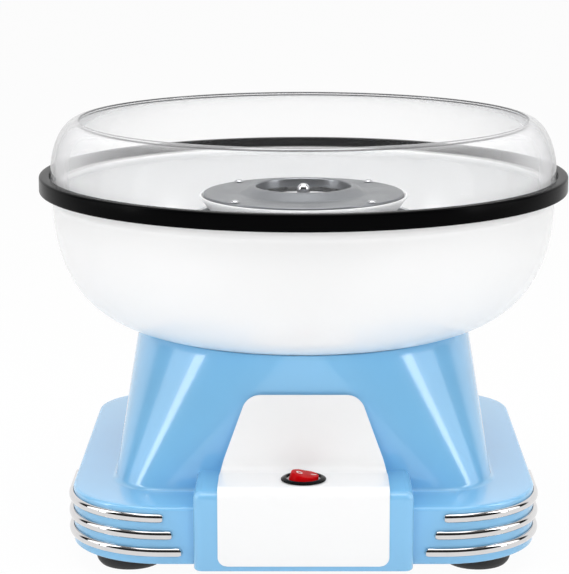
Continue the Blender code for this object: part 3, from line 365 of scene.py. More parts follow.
@dataclass(frozen=True)
class MouldedPlastic(Finish):
    """Injection-moulded plastic: faint clouding, fine mould texture and handling marks in its gloss."""

    clouding: float
    texture: float
    marks: float = 0.10
    coat: float = 0.0
    coat_roughness: float = 0.04
    shine: float = 0.5
    peel_share: float = 0.25
    relief: float = 0.0004

    def shader(self, graph: Graph, place: Value) -> bpy.types.Node:
        """Add the nodes: colour from clouds, gloss from finger marks and relief from the mould.

        Args:
            graph: the material's graph.
            place: the piece's own coordinates.

        Returns:
            The shader that the surface shows.
        """
        cloud = graph.noise(place, CLOUDS)
        touch = graph.noise(place, FINGER_MARKS)
        height = graph.noise(place, MOULD_PEEL) * self.peel_share + graph.noise(place, MOULD_WAVES)
        return graph.principled(
            {
                "Base Color": graph.mix(cloud, self.tone(1 - self.clouding), self.tone(1 + self.clouding)),
                "Roughness": self.roughness * (1 - self.marks + touch * 2 * self.marks),
                "Coat Weight": self.coat,
                "Coat Roughness": self.coat_roughness,
                "Specular IOR Level": self.shine,
                "Normal": graph.bump(height, self.texture, self.relief),
            }
        )


@dataclass(frozen=True)
class ClearPlastic(Finish):
    """Thin clear moulding: nearly invisible face on, with a painted pale sheen where it leans away and a
    painted dark outline at its edges.
    """

    # edge: the painted dark shade of the outline and of the lines along the mouth
    edge: Colour
    # face_on and edge_on: how much of the pale body, a painted sheen, shows face on and edge on
    face_on: float
    edge_on: float
    mouth_radius: float
    lip_top: float
    lip_bottom: float
    # width of the painted dark lines along the mouth's edges
    lip_line: float = 0.0006
    # how tightly the painted dark outline keeps to where the sheet is seen edge on
    outline_shade_power: float = 6.0
    # lean_power and lean_share: how the painted pale sheen grows as the sheet leans away
    lean_power: float = 2.0
    lean_share: float = 0.85
    wipe_stretch: tuple[float, float, float] = (1.0, 1.0, 0.25)
    wipe_roughness: float = 0.05
    wave: float = 0.03
    relief: float = 0.0004

    def shader(self, graph: Graph, place: Value) -> bpy.types.Node:
        """Add the nodes: a clear sheet, with a painted pale sheen as it leans away and a painted dark
        outline.

        Args:
            graph: the material's graph.
            place: the piece's own coordinates.

        Returns:
            The shader that the surface shows.
        """
        wipe = graph.noise(graph.scaled(place, self.wipe_stretch), WIPE_MARKS)
        turned = graph.value("ShaderNodeLayerWeight", sockets={"Blend": 0.5}, output="Facing")
        # painted dark outline: where the sheet is seen edge on, and along the mouth's two edges
        rim = (turned**self.outline_shade_power).at_least(self._painted_lip_lines(graph, place))
        body = graph.principled(
            {
                "Base Color": graph.mix(rim, self.colour, self.edge),
                "Roughness": self.roughness + wipe * self.wipe_roughness,
                "Normal": graph.bump(graph.noise(place, SHEET_WAVES), self.wave, self.relief),
            }
        )
        clear = graph.node("ShaderNodeBsdfTransparent", sockets={"Color": (1.0, 1.0, 1.0, 1.0)})
        # painted pale sheen: the pale body shows more the more the sheet leans away
        leaning = (turned**self.lean_power * self.lean_share).at_least(rim)
        return graph.blend(self.face_on + leaning * (self.edge_on - self.face_on), clear, body)

    def _painted_lip_lines(self, graph: Graph, place: Value) -> Value:
        """The two edges of the mouth, where painted dark lines stand in for light caught in the sheet.

        Args:
            graph: the material's graph.
            place: the piece's own coordinates.

        Returns:
            One on the edges, zero elsewhere.
        """
        line = self.lip_line
        x, y, z = graph.axes(place)
        inner = 1 - ((x * x + y * y) ** 0.5).between(self.mouth_radius + line, self.mouth_radius + 2 * line)
        upper = z.between(self.lip_top - 2 * line, self.lip_top - line)
        lower = 1 - z.between(self.lip_bottom + line, self.lip_bottom + 2 * line)
        return inner * upper.at_least(lower)


@dataclass(frozen=True)
class TurnedMetal(Finish):
    """Spun or turned metal with fine rings about the spindle."""

    metal: float = 1.0
    glint: float = 0.04
    stain: float = 0.12
    stain_share: float = 0.6
    ring_height: float = 0.25
    relief: float = 0.00004
    least_dull: float = 0.75
    ring_dull: float = 0.35
    stain_dull: float = 0.2

    def shader(self, graph: Graph, place: Value) -> bpy.types.Node:
        """Add the nodes: rings and bands from the tool, and stains.

        Args:
            graph: the material's graph.
            place: the piece's own coordinates.

        Returns:
            The shader that the surface shows.
        """
        x, y, z = graph.axes(place)
        radius = (x * x + y * y) ** 0.5
        across = graph.value("ShaderNodeCombineXYZ", sockets={0: radius + z})
        rings = graph.noise(across, TOOL_RINGS)
        stain = graph.noise(place, STAINS)
        mottle = stain * self.stain_share + graph.noise(across, TOOL_BANDS) * (1 - self.stain_share)
        dull = self.least_dull + rings * self.ring_dull + stain * self.stain_dull
        return graph.principled(
            {
                "Base Color": graph.mix(mottle, self.tone(1 + self.glint), self.tone(1 - self.stain)),
                "Metallic": self.metal,
                "Roughness": self.roughness * dull,
                "Normal": graph.bump(rings, self.ring_height, self.relief),
            }
        )


@dataclass(frozen=True)
class PlainMetal(Finish):
    """Plated, rolled or drawn metal with fine grain and smudges."""

    grain: float
    smudge: float = 0.5
    smudge_tone: float = 0.94
    grain_stretch: tuple[float, float, float] = (1.0, 1.0, 0.08)
    relief: float = 0.00003

    def shader(self, graph: Graph, place: Value) -> bpy.types.Node:
        """Add the nodes: smudges in colour and gloss, and a grain drawn out along Z.

        Args:
            graph: the material's graph.
            place: the piece's own coordinates.

        Returns:
            The shader that the surface shows.
        """
        smudge = graph.noise(place, SMUDGES)
        grain = graph.noise(graph.scaled(place, self.grain_stretch), DRAWN_GRAIN)
        return graph.principled(
            {
                "Base Color": graph.mix(smudge, self.colour, self.tone(self.smudge_tone)),
                "Metallic": 1.0,
                "Roughness": self.roughness * (1 + smudge * self.smudge),
                "Normal": graph.bump(grain, self.grain, self.relief),
            }
        )


@dataclass(frozen=True)
class DullSolid(Finish):
    """Rubber, ceramic, carbon and other matt stuff: grainy, with dust in its colour."""

    grain_scale: float = 1200.0
    grain: float = 0.25
    dust: float = 0.25
    dust_grey: float = 0.35
    dust_cover: float = 0.12
    relief: float = 0.0002
    least_dull: float = 0.9
    grain_dull: float = 0.2

    def shader(self, graph: Graph, place: Value) -> bpy.types.Node:
        """Add the nodes: grain in gloss and relief, and dust in the colour.

        Args:
            graph: the material's graph.
            place: the piece's own coordinates.

        Returns:
            The shader that the surface shows.
        """
        grain = graph.noise(place, Pattern(self.grain_scale, detail=3.0, roughness=0.6))
        dusty = tuple(channel + (self.dust_grey - channel) * self.dust_cover for channel in self.colour)
        return graph.principled(
            {
                "Base Color": graph.mix(graph.noise(place, DUST) * self.dust, self.colour, dusty),
                "Roughness": self.roughness * (self.least_dull + grain * self.grain_dull),
                "Normal": graph.bump(grain, self.grain, self.relief),
            }
        )


class Palette:
    """Every finish on the machine, made once."""

    def __init__(self) -> None:
        """Make the materials."""
        self.blue = MouldedPlastic(
            "sky_blue_gloss", (0.228, 0.54, 0.84), roughness=0.2, clouding=0.03, texture=0.05, coat=0.6
        ).material()
        self.white = MouldedPlastic(
            "white_gloss", (0.92, 0.92, 0.92), roughness=0.22, clouding=0.012, texture=0.05
        ).material()
        self.panel = MouldedPlastic(
            "panel_white_gloss", (0.94, 0.94, 0.94), roughness=0.17, clouding=0.010, texture=0.04
        ).material()
        self.black = MouldedPlastic(
            "black_gloss", (0.0015, 0.0015, 0.0017), roughness=0.24, clouding=0.2, texture=0.04, shine=0.02
        ).material()
        self.bezel = MouldedPlastic(
            "bezel_black", (0.002, 0.002, 0.002), roughness=0.2, clouding=0.2, texture=0.05, shine=0.07
        ).material()
        self.red = MouldedPlastic(
            "rocker_red", (0.52, 0.002, 0.004), roughness=0.26, clouding=0.06, texture=0.05, shine=0.03
        ).material()
        self.mark = MouldedPlastic(
            "mark_white", (0.85, 0.82, 0.80), roughness=0.3, clouding=0.02, texture=0.05
        ).material()
        self.clear = ClearPlastic(
            "clear_polycarbonate",
            # pale body, shown as a painted sheen where the sheet leans away
            (0.88, 0.88, 0.89),
            roughness=0.03,
            # painted dark shade of the guard's outline and of the lines along its mouth
            edge=(0.05, 0.05, 0.055),
            face_on=0.02,
            edge_on=0.90,
            mouth_radius=GUARD_MOUTH,
            lip_top=GUARD_TOP,
            lip_bottom=GUARD_TOP - GUARD_WALL,
        ).material()
        self.chrome = PlainMetal(
            "chrome", (0.70, 0.69, 0.69), roughness=0.035, grain=0.02, smudge=0.8
        ).material()
        self.flange = TurnedMetal("satin_aluminium", (0.25, 0.26, 0.275), roughness=0.36).material()
        self.bright = TurnedMetal(
            "bright_aluminium", (0.90, 0.90, 0.91), roughness=0.42, metal=0.2
        ).material()
        self.cup = TurnedMetal("spun_aluminium", (0.66, 0.67, 0.68), roughness=0.3).material()
        self.steel = PlainMetal("steel", (0.58, 0.58, 0.60), roughness=0.26, grain=0.2).material()
        self.polished = PlainMetal(
            "polished_steel", (0.80, 0.80, 0.82), roughness=0.12, grain=0.05
        ).material()
        self.brass = PlainMetal("brass", (0.72, 0.50, 0.18), roughness=0.28, grain=0.2).material()
        self.rubber = DullSolid("black_rubber", (0.016, 0.016, 0.016), roughness=0.6).material()
        self.ceramic = DullSolid(
            "ceramic", (0.80, 0.76, 0.68), roughness=0.55, grain_scale=900.0, grain=0.15
        ).material()
        self.carbon = DullSolid(
            "carbon", (0.03, 0.03, 0.03), roughness=0.5, grain_scale=1800.0, grain=0.2
        ).material()
        self.ferrite = DullSolid(
            "ferrite", (0.06, 0.06, 0.065), roughness=0.6, grain_scale=1500.0, grain=0.3
        ).material()
        self.sleeve = DullSolid(
            "wire_sleeve", (0.02, 0.02, 0.022), roughness=0.45, grain_scale=700.0, grain=0.1
        ).material()


@dataclass
class Section:
    """A half section in the XZ plane, turned about Z into a solid.

    Args:
        corners: radius, height and any rounding of each corner, in order round the section.
        closed: False where the section starts and ends on the axis.
    """

    corners: Sequence[Corner]
    closed: bool = True

    def turn(self, steps: int) -> bmesh.types.BMesh:
        """Spin the section.

        Args:
            steps: facets in a full turn.

        Returns:
            The closed solid.
        """
        bm = bmesh.new()
        verts = [bm.verts.new((radius, 0, height)) for radius, height, *_ in self.corners]
        ends = verts[1:] + (verts[:1] if self.closed else [])
        for one, other in zip(verts, ends):
            bm.edges.new((one, other))
        for vert, (_, _, *rounding) in zip(verts, self.corners):
            if rounding:
                bevel(bm, [vert], Rounding(rounding[0], ROUNDING_STEPS), "VERTICES")
        spin(bm, [*bm.verts, *bm.edges], TURN, steps)
        return tidy(bm)


def bevel(bm: bmesh.types.BMesh, geom: list, rounding: Rounding, affect: str) -> None:
    """Round some edges or corners of a mesh, edges no further than there is room.

    Args:
        bm: the mesh.
        geom: its edges or vertices.
        rounding: the size and facets.
        affect: EDGES or VERTICES.
    """
    bmesh.ops.bevel(
        bm,
        geom=geom,
        offset=rounding.size,
        segments=rounding.steps,
        profile=0.5,
        affect=affect,
        material=-1,
        clamp_overlap=affect == "EDGES",
    )


def spin(bm: bmesh.types.BMesh, geom: list, angle: float, steps: int) -> None:
    """Sweep part of a mesh about Z.

    Args:
        bm: the mesh.
        geom: what is swept.
        angle: how far, where a full turn is merged.
        steps: facets in the sweep.
    """
    bmesh.ops.spin(
        bm,
        geom=geom,
        cent=(0, 0, 0),
        axis=(0, 0, 1),
        angle=angle,
        steps=steps,
        use_merge=angle == TURN,
    )


def tidy(bm: bmesh.types.BMesh) -> bmesh.types.BMesh:
    """Weld a mesh and turn its faces outwards."""
    bmesh.ops.remove_doubles(bm, verts=bm.verts, dist=WELD)
    bmesh.ops.recalc_face_normals(bm, faces=bm.faces)
    return bm


def moved(bm: bmesh.types.BMesh, place: Matrix) -> bmesh.types.BMesh:
    """A mesh put in its place."""
    bmesh.ops.transform(bm, matrix=place, verts=bm.verts)
    return bm


def mesh_of(bm: bmesh.types.BMesh, name: str) -> bpy.types.Mesh:
    """A stored mesh.

    Args:
        bm: the shape, which is used up.
        name: the mesh's name.

    Returns:
        The new mesh.
    """
    mesh = bpy.data.meshes.new(name)
    bm.to_mesh(mesh)
    bm.free()
    return mesh


def placed(name: str, data: bpy.types.ID) -> bpy.types.Object:
    """A new object in the scene."""
    made = bpy.data.objects.new(name, data)
    bpy.context.scene.collection.objects.link(made)
    return made


def joined(parts: Iterable[bmesh.types.BMesh]) -> bmesh.types.BMesh:
    """Several meshes as one.

    Args:
        parts: the meshes, which are used up.

    Returns:
        The whole.
    """
    whole = bmesh.new()
    for part in parts:
        held = mesh_of(part, "held")
        whole.from_mesh(held)
        bpy.data.meshes.remove(held)
    return whole


def cut(whole: bmesh.types.BMesh, tool: bmesh.types.BMesh) -> bmesh.types.BMesh:
    """One solid with another taken out of it.

    Args:
        whole: the solid, which is used up.
        tool: what is taken out, which is used up.

    Returns:
        What is left.
    """
    solids = [placed("held", mesh_of(part, "held")) for part in (whole, tool)]
    modifier = solids[0].modifiers.new("cut", "BOOLEAN")
    modifier.operation = "DIFFERENCE"
    modifier.solver = "EXACT"
    modifier.object = solids[1]
    rest = bmesh.new()
    rest.from_object(solids[0], bpy.context.evaluated_depsgraph_get())
    for held in [solid.data for solid in solids]:
        bpy.data.meshes.remove(held)
    return tidy(rest)


def block(low: Sequence[float], high: Sequence[float]) -> bmesh.types.BMesh:
    """A box.

    Args:
        low: its lowest corner.
        high: its highest corner.

    Returns:
        The closed solid.
    """
    bm = bmesh.new()
    bmesh.ops.create_cube(bm, size=1.0)
    low, high = Vector(low), Vector(high)
    bmesh.ops.scale(bm, vec=high - low, verts=bm.verts)
    bmesh.ops.translate(bm, vec=(low + high) / 2, verts=bm.verts)
    return bm


def drum(radii: Point, depth: float, place: Matrix, steps: int) -> bmesh.types.BMesh:
    """A cylinder or a cut cone.

    Args:
        radii: its lower and upper radius.
        depth: its length, along its own Z.
        place: where its middle goes.
        steps: facets round it.

    Returns:
        The closed solid.
    """
    bm = bmesh.new()
    lower, upper = radii
    bmesh.ops.create_cone(
        bm, cap_ends=True, segments=steps, radius1=lower, radius2=upper, depth=depth, matrix=place
    )
    return bm


def sector(
    inner: float, outer: float, low: float, high: float, middle: float, sweep: float
) -> bmesh.types.BMesh:
    """Part of a ring.

    Args:
        inner: inner radius.
        outer: outer radius.
        low: lower height.
        high: upper height.
        middle: angle of its middle.
        sweep: angle that it covers.

    Returns:
        The closed solid.
    """
    bm = bmesh.new()
    section = ((inner, low), (outer, low), (outer, high), (inner, high))
    corners = [bm.verts.new((radius, 0, height)) for radius, height in section]
    face = bm.faces.new(corners)
    bmesh.ops.rotate(bm, matrix=Matrix.Rotation(middle - sweep / 2, 3, "Z"), verts=corners)
    spin(bm, [face, *face.edges, *corners], sweep, SECTOR_STEPS)
    return tidy(bm)


def round_edges(bm: bmesh.types.BMesh, wanted: EdgeTest, rounding: Rounding) -> None:
    """Round the edges that a test picks."""
    bevel(bm, [edge for edge in bm.edges if wanted(edge)], rounding, "EDGES")


def upright(edge: bmesh.types.BMEdge) -> bool:
    """Whether an edge runs up and down."""
    return abs(edge.verts[0].co.z - edge.verts[1].co.z) > WELD


def level_at(height: float) -> EdgeTest:
    """A test for edges that lie at a height."""
    return lambda edge: all(abs(vert.co.z - height) < WELD for vert in edge.verts)


def sharper_than(angle: float) -> EdgeTest:
    """A test for edges whose faces turn by more than an angle."""
    return lambda edge: edge.calc_face_angle(0.0) > angle


def circle(radius: float) -> Reach:
    """The outline of a circle about the axis."""
    return lambda angle: radius


def quarter(steps: int) -> list[Point]:
    """Cosine and sine at even steps through a quarter turn, from along to up."""
    angles = [TURN / 4 * i / steps for i in range(steps + 1)]
    return [(math.cos(angle), math.sin(angle)) for angle in angles]


def lock_angles() -> list[float]:
    """The directions of the tabs that lock the bowl, one of them to the front."""
    return [LOCK_START + TURN * i / LOCK_COUNT for i in range(LOCK_COUNT)]


def piece(
    bm: bmesh.types.BMesh,
    name: str,
    material: bpy.types.Material,
    body: Body,
    replaces: Sequence[str] = (),
) -> None:
    """Finish a mesh as a piece of the machine.

    Args:
        bm: the mesh, which is used up.
        name: the piece's name.
        material: its finish.
        body: the body that it moves with.
        replaces: CAD nodes that it stands for.
    """
    mesh = mesh_of(bm, name)
    mesh.shade_smooth()
    mesh.set_sharp_from_angle(angle=SHARP)
    mesh.materials.append(material)
    made = placed(name, mesh)
    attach(made, body.value)
    if replaces:
        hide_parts(*replaces)
    LOG.info("%s: %d faces, on %s", name, len(mesh.polygons), body.value)


def rounded_path(points: Sequence[Point], radii: Sequence[float], steps: int) -> list[Vector]:
    """A polyline in two dimensions whose inner corners are arcs.

    Args:
        points: the corners, ends included.
        radii: one radius for each inner corner.
        steps: pieces in each arc.

    Returns:
        The path's points.
    """
    path = [Vector(points[0])]
    for before, corner, after, radius in zip(points, points[1:], points[2:], radii):
        corner = Vector(corner)
        back = (Vector(before) - corner).normalized()
        ahead = (Vector(after) - corner).normalized()
        half = back.angle(ahead) / 2
        centre = corner + (back + ahead).normalized() * radius / math.sin(half)
        start = corner + back * radius / math.tan(half) - centre
        side = 1 if back.x * ahead.y - back.y * ahead.x < 0 else -1
        sweep = side * (math.pi - 2 * half)
        path += [centre + Matrix.Rotation(sweep * i / steps, 2) @ start for i in range(steps + 1)]
    path.append(Vector(points[-1]))
    return path


def plan_reach(half_width: float, half_depth: float, corner: float, angle: float) -> float:
    """The distance from the axis to the outline of a rectangle with round corners.

    Args:
        half_width: half its size across.
        half_depth: half its size from front to rear.
        corner: radius of its corners.
        angle: direction about the axis.

    Returns:
        The radius in that direction.
    """
    across, along = abs(math.cos(angle)), abs(math.sin(angle))
    flat_x, flat_y = half_width - corner, half_depth - corner
    if along * half_width <= flat_y * across:
        return half_width / across
    if across * half_depth <= flat_x * along:
        return half_depth / along
    towards = flat_x * across + flat_y * along
    return towards + math.sqrt(towards**2 - flat_x**2 - flat_y**2 + corner**2)


@dataclass
class Plinth:
    """The plan of the plinth: a square with large round corners, larger at the front."""

    half: float = 0.1266
    corner: float = 0.052
    rear_corner: float = 0.042
    bottom: float = 0.010
    top: float = 0.0412
    edge: float = 0.0018
    wall: float = 0.003

    def reach(self, angle: float, inset: float = 0.0) -> float:
        """The distance from the axis to the outline.

        Args:
            angle: direction about the axis.
            inset: how far inside the outline.

        Returns:
            The radius in that direction.
        """
        corner = self.corner if math.sin(angle) < 0 else self.rear_corner
        return plan_reach(self.half - inset, self.half - inset, corner - inset, angle)

    def along(self, travel: float) -> tuple[Vector, Vector]:
        """A place on the outline of the front right corner.

        Args:
            travel: distance round the outline from where the corner's arc starts.

        Returns:
            The place and the outward direction, in plan.
        """
        flat = self.half - self.corner
        arc = self.corner * TURN / 4
        if travel < 0:
            return Vector((flat + travel, -self.half)), Vector((0, -1))
        if travel > arc:
            return Vector((self.half, -flat + travel - arc)), Vector((1, 0))
        angle = travel / self.corner
        outward = Vector((math.sin(angle), -math.cos(angle)))
        return Vector((flat, -flat)) + outward * self.corner, outward

    def travel_to(self, across: float) -> float:
        """The distance round the outline to a place on the front or its corner, given its X."""
        past = across - (self.half - self.corner)
        return past if past < 0 else self.corner * math.asin(past / self.corner)


@dataclass
class Column:
    """The column's section: a rectangle with round corners on the plinth, a circle under the bowl."""

    half_width: float = 0.104
    half_depth: float = 0.0958
    corner: float = 0.030
    top_radius: float = 0.0942
    top: float = 0.116
    foot: float = 0.0412

    def reach(self, angle: float, height: float, inset: float = 0.0) -> float:
        """The distance from the axis to the column's face.

        Args:
            angle: direction about the axis.
            height: height of the section.
            inset: how far inside the face.

        Returns:
            The radius in that direction.
        """
        share = min(1.0, max(0.0, (self.top - height) / (self.top - self.foot)))
        foot = (self.half_width, self.half_depth, self.corner)
        wide, deep, corner = (self.top_radius + (size - self.top_radius) * share - inset for size in foot)
        return plan_reach(wide, deep, corner, angle)


@dataclass
class Housing:
    """The blue moulding: plinth, column, deck with the bowl's spigot, console and nose."""

    palette: Palette
    plinth: Plinth = field(default_factory=Plinth)
    column: Column = field(default_factory=Column)
    foot_lip: float = 0.0004
    foot_fillet: float = 0.0022
    top_lip: float = 0.0006
    deck: float = 0.1139
    deck_radius: float = 0.083
    shaft_hole: float = 0.012
    shaft_hole_edge: float = 0.0005
    inner_levels: tuple[float, ...] = (0.095, 0.075, 0.06, 0.048)
    spigot_inner: float = 0.070
    spigot_outer: float = 0.074
    spigot_top: float = 0.1215
    spigot_edge: float = 0.0008
    spigot_sink: float = 0.001
    lug_radius: float = 0.0775
    lug_thickness: float = 0.003
    lug_sweep: float = math.radians(28)
    console_half: float = 0.0578
    console_front: float = -0.1394
    console_rear: float = -0.085
    console_top: float = 0.053
    post_edge: Rounding = Rounding(0.0048, 8)
    console_top_edge: Rounding = Rounding(0.0042, 7)
    console_foot_edge: Rounding = Rounding(0.0014, 3)
    gland_hole_radius: float = 0.0065
    edge_rings: int = 7
    shelf_rings: int = 5
    fillet_rings: int = 8
    column_rings: int = 22

    def build(self, panel: FrontPanel) -> None:
        """Make the pieces that stand for the housing.

        Args:
            panel: the panel whose backing belongs to the housing.
        """
        blue = self.palette.blue
        shell = cut(self.shell(), self.gland_hole())
        piece(shell, "housing", blue, Body.BASE, ["base_shell"])
        piece(self.spigot(), "bowl_spigot", blue, Body.BASE)
        piece(self.console(), "console", blue, Body.BASE)
        piece(panel.backing(), "panel_backing", blue, Body.BASE)

    def outside(self) -> list[Ring]:
        """The rings of the outer face, from the plinth's foot to the deck's hole."""
        plinth, column = self.plinth, self.column
        rings: list[Ring] = [
            (plinth.bottom, partial(plinth.reach, inset=self.foot_lip)),
            (plinth.bottom + self.foot_lip, plinth.reach),
        ]
        for across, up in quarter(self.edge_rings):
            height = plinth.top - plinth.edge * (1 - up)
            rings.append((height, partial(plinth.reach, inset=plinth.edge * (1 - across))))
        for i in range(1, self.shelf_rings):
            rings.append((plinth.top, partial(self._shelf, share=i / self.shelf_rings)))
        for across, up in quarter(self.fillet_rings):
            height = plinth.top + self.foot_fillet * (1 - across)
            rings.append((height, partial(column.reach, height=height, inset=-self.foot_fillet * (1 - up))))
        start, end = plinth.top + self.foot_fillet, column.top - self.top_lip
        for i in range(1, self.column_rings + 1):
            height = start + (end - start) * i / self.column_rings
            rings.append((height, partial(column.reach, height=height)))
        rings.append((column.top, partial(column.reach, height=column.top, inset=self.top_lip)))
        rings.append((self.deck, circle(self.deck_radius)))
        rings.append((self.deck, circle(self.shaft_hole + self.shaft_hole_edge)))
        rings.append((self.deck - self.shaft_hole_edge, circle(self.shaft_hole)))
        return rings

    def _shelf(self, angle: float, share: float) -> float:
        """The plinth's flat top.

        Args:
            angle: direction about the axis.
            share: zero at its outer edge, one at the column.

        Returns:
            The radius in that direction.
        """
        outer = self.plinth.reach(angle, self.plinth.edge)
        inner = self.column.reach(angle, self.plinth.top, -self.foot_fillet)
        return outer + (inner - outer) * share

    def inside(self) -> list[Ring]:
        """The rings of the inner face, from the deck's underside to the plinth's foot."""
        plinth, wall = self.plinth, self.plinth.wall
        ceiling = plinth.top - wall
        rings: list[Ring] = [(self.deck - wall, circle(self.shaft_hole))]
        for height in (self.deck - wall, *self.inner_levels, ceiling):
            rings.append((height, partial(self.column.reach, height=height, inset=wall)))
        rings += [(height, partial(plinth.reach, inset=wall)) for height in (ceiling, plinth.bottom)]
        return rings

    def shell(self) -> bmesh.types.BMesh:
        """Draw one ring up the outside and down the inside, back to where it started."""
        bm = bmesh.new()
        first, *others = [*self.outside(), *self.inside()]
        self._fit(bmesh.ops.create_circle(bm, segments=FINE_STEPS, radius=1.0)["verts"], *first)
        ring = bm.edges[:]
        for height, reach in [*others, first]:
            made = bmesh.ops.extrude_edge_only(bm, edges=ring)["geom"]
            verts = {item for item in made if isinstance(item, bmesh.types.BMVert)}
            edges = [item for item in made if isinstance(item, bmesh.types.BMEdge)]
            ring = [edge for edge in edges if verts.issuperset(edge.verts)]
            self._fit(verts, height, reach)
        return tidy(bm)

    @staticmethod
    def _fit(verts: Iterable[bmesh.types.BMVert], height: float, reach: Reach) -> None:
        """Put a ring's points on an outline.

        Args:
            verts: the ring's points.
            height: the outline's height.
            reach: its distance from the axis in each direction.
        """
        for vert in verts:
            angle = math.atan2(vert.co.y, vert.co.x)
            radius = reach(angle)
            vert.co = (radius * math.cos(angle), radius * math.sin(angle), height)

    def gland_hole(self) -> bmesh.types.BMesh:
        """What is drilled out of the rear wall for the cord's bush."""
        place = Matrix.Translation((0, self.plinth.half, GLAND_HEIGHT)) @ Matrix.Rotation(TURN / 4, 4, "X")
        radii = (self.gland_hole_radius, self.gland_hole_radius)
        return drum(radii, 4 * self.plinth.wall, place, SMALL_STEPS)

    def spigot(self) -> bmesh.types.BMesh:
        """The ring that centres the bowl, with its three lugs."""
        foot = self.deck - self.spigot_sink
        ring = Section(
            [
                (self.spigot_inner, foot),
                (self.spigot_inner, self.spigot_top, self.spigot_edge),
                (self.spigot_outer, self.spigot_top, self.spigot_edge),
                (self.spigot_outer, foot),
            ]
        )
        inner = self.spigot_outer - self.spigot_sink
        low, high = self.spigot_top - self.lug_thickness, self.spigot_top - TOUCH
        lugs = [sector(inner, self.lug_radius, low, high, angle, self.lug_sweep) for angle in lock_angles()]
        return joined([ring.turn(ROUND_STEPS), *lugs])

    def console(self) -> bmesh.types.BMesh:
        """The front block whose two posts frame the panel."""
        low = (-self.console_half, self.console_front, self.plinth.bottom)
        bm = block(low, (self.console_half, self.console_rear, self.console_top))
        round_edges(bm, upright, self.post_edge)
        round_edges(bm, level_at(self.console_top), self.console_top_edge)
        round_edges(bm, level_at(self.plinth.bottom), self.console_foot_edge)
        return tidy(bm)


@dataclass
class FrontPanel:
    """The white sheet down the slope, over the ledge and down the console's front."""

    palette: Palette
    section: tuple[Point, ...] = ((-0.0980, 0.0955), (-0.1085, 0.0562), (-0.1417, 0.0562), (-0.1417, 0.0137))
    bends: tuple[float, float] = (0.006, 0.005)
    thickness: float = 0.002
    half_top: float = 0.0302
    half: float = 0.0450
    top_corner: float = 0.0065
    foot_corner: float = 0.005
    edge: Rounding = Rounding(0.0005, 3)
    edge_angle: float = math.radians(60)
    least_bend: float = 0.001
    bend_steps: int = 10
    ease: float = 0.2
    crowding: float = 0.45
    rows: int = 150
    columns: int = 36
    backing_inset: float = 0.0006
    backing_share: float = 0.58
    backing_shift: tuple[float, float, float] = (0.0, 0.012, -0.008)

    def build(self) -> None:
        """Make the panel."""
        bm = self.sheet()
        bmesh.ops.solidify(bm, geom=bm.faces, thickness=self.thickness)
        tidy(bm)
        round_edges(bm, sharper_than(self.edge_angle), self.edge)
        piece(tidy(bm), "panel", self.palette.panel, Body.BASE, ["front_panel"])

    def path(self, depth: float) -> list[Vector]:
        """The side view of the sheet's face.

        Args:
            depth: how far behind the outer face.

        Returns:
            Points from the top of the slope to the foot.
        """
        (top_y, top_z), (heel_y, heel_z), (toe_y, toe_z), (foot_y, foot_z) = self.section
        corners = [
            (top_y + depth, top_z - depth),
            (heel_y + depth, heel_z - depth),
            (toe_y + depth, toe_z - depth),
            (foot_y + depth, foot_z),
        ]
        heel_bend, toe_bend = self.bends
        bends = [heel_bend + depth, max(self.least_bend, toe_bend - depth)]
        return rounded_path(corners, bends, self.bend_steps)

    def half_at(self, travel: float, heel: float) -> float:
        """Half the sheet's width, which grows down the slope and stays along the ledge.

        Args:
            travel: distance from the top edge.
            heel: distance from the top edge to where the slope ends.

        Returns:
            The half width.
        """
        ease = self.ease
        share = travel / heel
        if share > 1 + ease:
            share = 1.0
        elif share > 1 - ease:
            share -= (share - 1 + ease) ** 2 / (4 * ease)
        return self.half_top + (self.half - self.half_top) * share

    def sheet(self, depth: float = 0.0, inset: float = 0.0, share: float = 1.0) -> bmesh.types.BMesh:
        """The bent sheet as one layer of faces.

        Args:
            depth: how far behind the outer face.
            inset: how much narrower on each side.
            share: how much of its length, from the top.

        Returns:
            An open mesh whose faces look outwards.
        """
        path = self.path(depth)
        steps = [(b - a).length for a, b in zip(path, path[1:])]
        length = sum(steps)
        (top_y, top_z), (heel_y, heel_z) = self.section[:2]
        heel = math.hypot(heel_y - top_y, heel_z - top_z)
        bm = bmesh.new()
        bmesh.ops.create_grid(bm, x_segments=self.columns, y_segments=self.rows, size=1.0)
        for vert in bm.verts:
            travel = self._spread((1 - vert.co.y) / 2) * length * share
            place = self._walk(path, steps, travel)
            half = self.half_at(travel, heel) - inset
            for corner, edge in ((self.top_corner, travel), (self.foot_corner, length - travel)):
                if edge < corner:
                    half -= corner - math.sqrt(max(0.0, corner**2 - (corner - edge) ** 2))
            vert.co = (vert.co.x * half, place.x, place.y)
        bm.normal_update()
        if sum(face.normal.y for face in bm.faces) > 0:
            bmesh.ops.reverse_faces(bm, faces=bm.faces)
        return bm

    def _spread(self, share: float) -> float:
        """Rows crowded towards both ends, where the corners are round."""
        crowded = (1 - math.cos(math.pi * share)) / 2
        return share + (crowded - share) * self.crowding

    @staticmethod
    def _walk(path: Sequence[Vector], steps: Sequence[float], travel: float) -> Vector:
        """Go a given length along a path.

        Args:
            path: the path's points.
            steps: the lengths between them.
            travel: how far to go.

        Returns:
            The place reached.
        """
        for step, start, end in zip(steps, path, path[1:]):
            if travel <= step:
                return start.lerp(end, travel / step)
            travel -= step
        return path[-1]

    def backing(self) -> bmesh.types.BMesh:
        """The blue wedge of the housing that carries the slope and the ledge."""
        bm = self.sheet(self.thickness + TOUCH, self.backing_inset, self.backing_share)
        made = bmesh.ops.extrude_face_region(bm, geom=bm.faces[:])["geom"]
        verts = [item for item in made if isinstance(item, bmesh.types.BMVert)]
        bmesh.ops.translate(bm, vec=self.backing_shift, verts=verts)
        return tidy(bm)


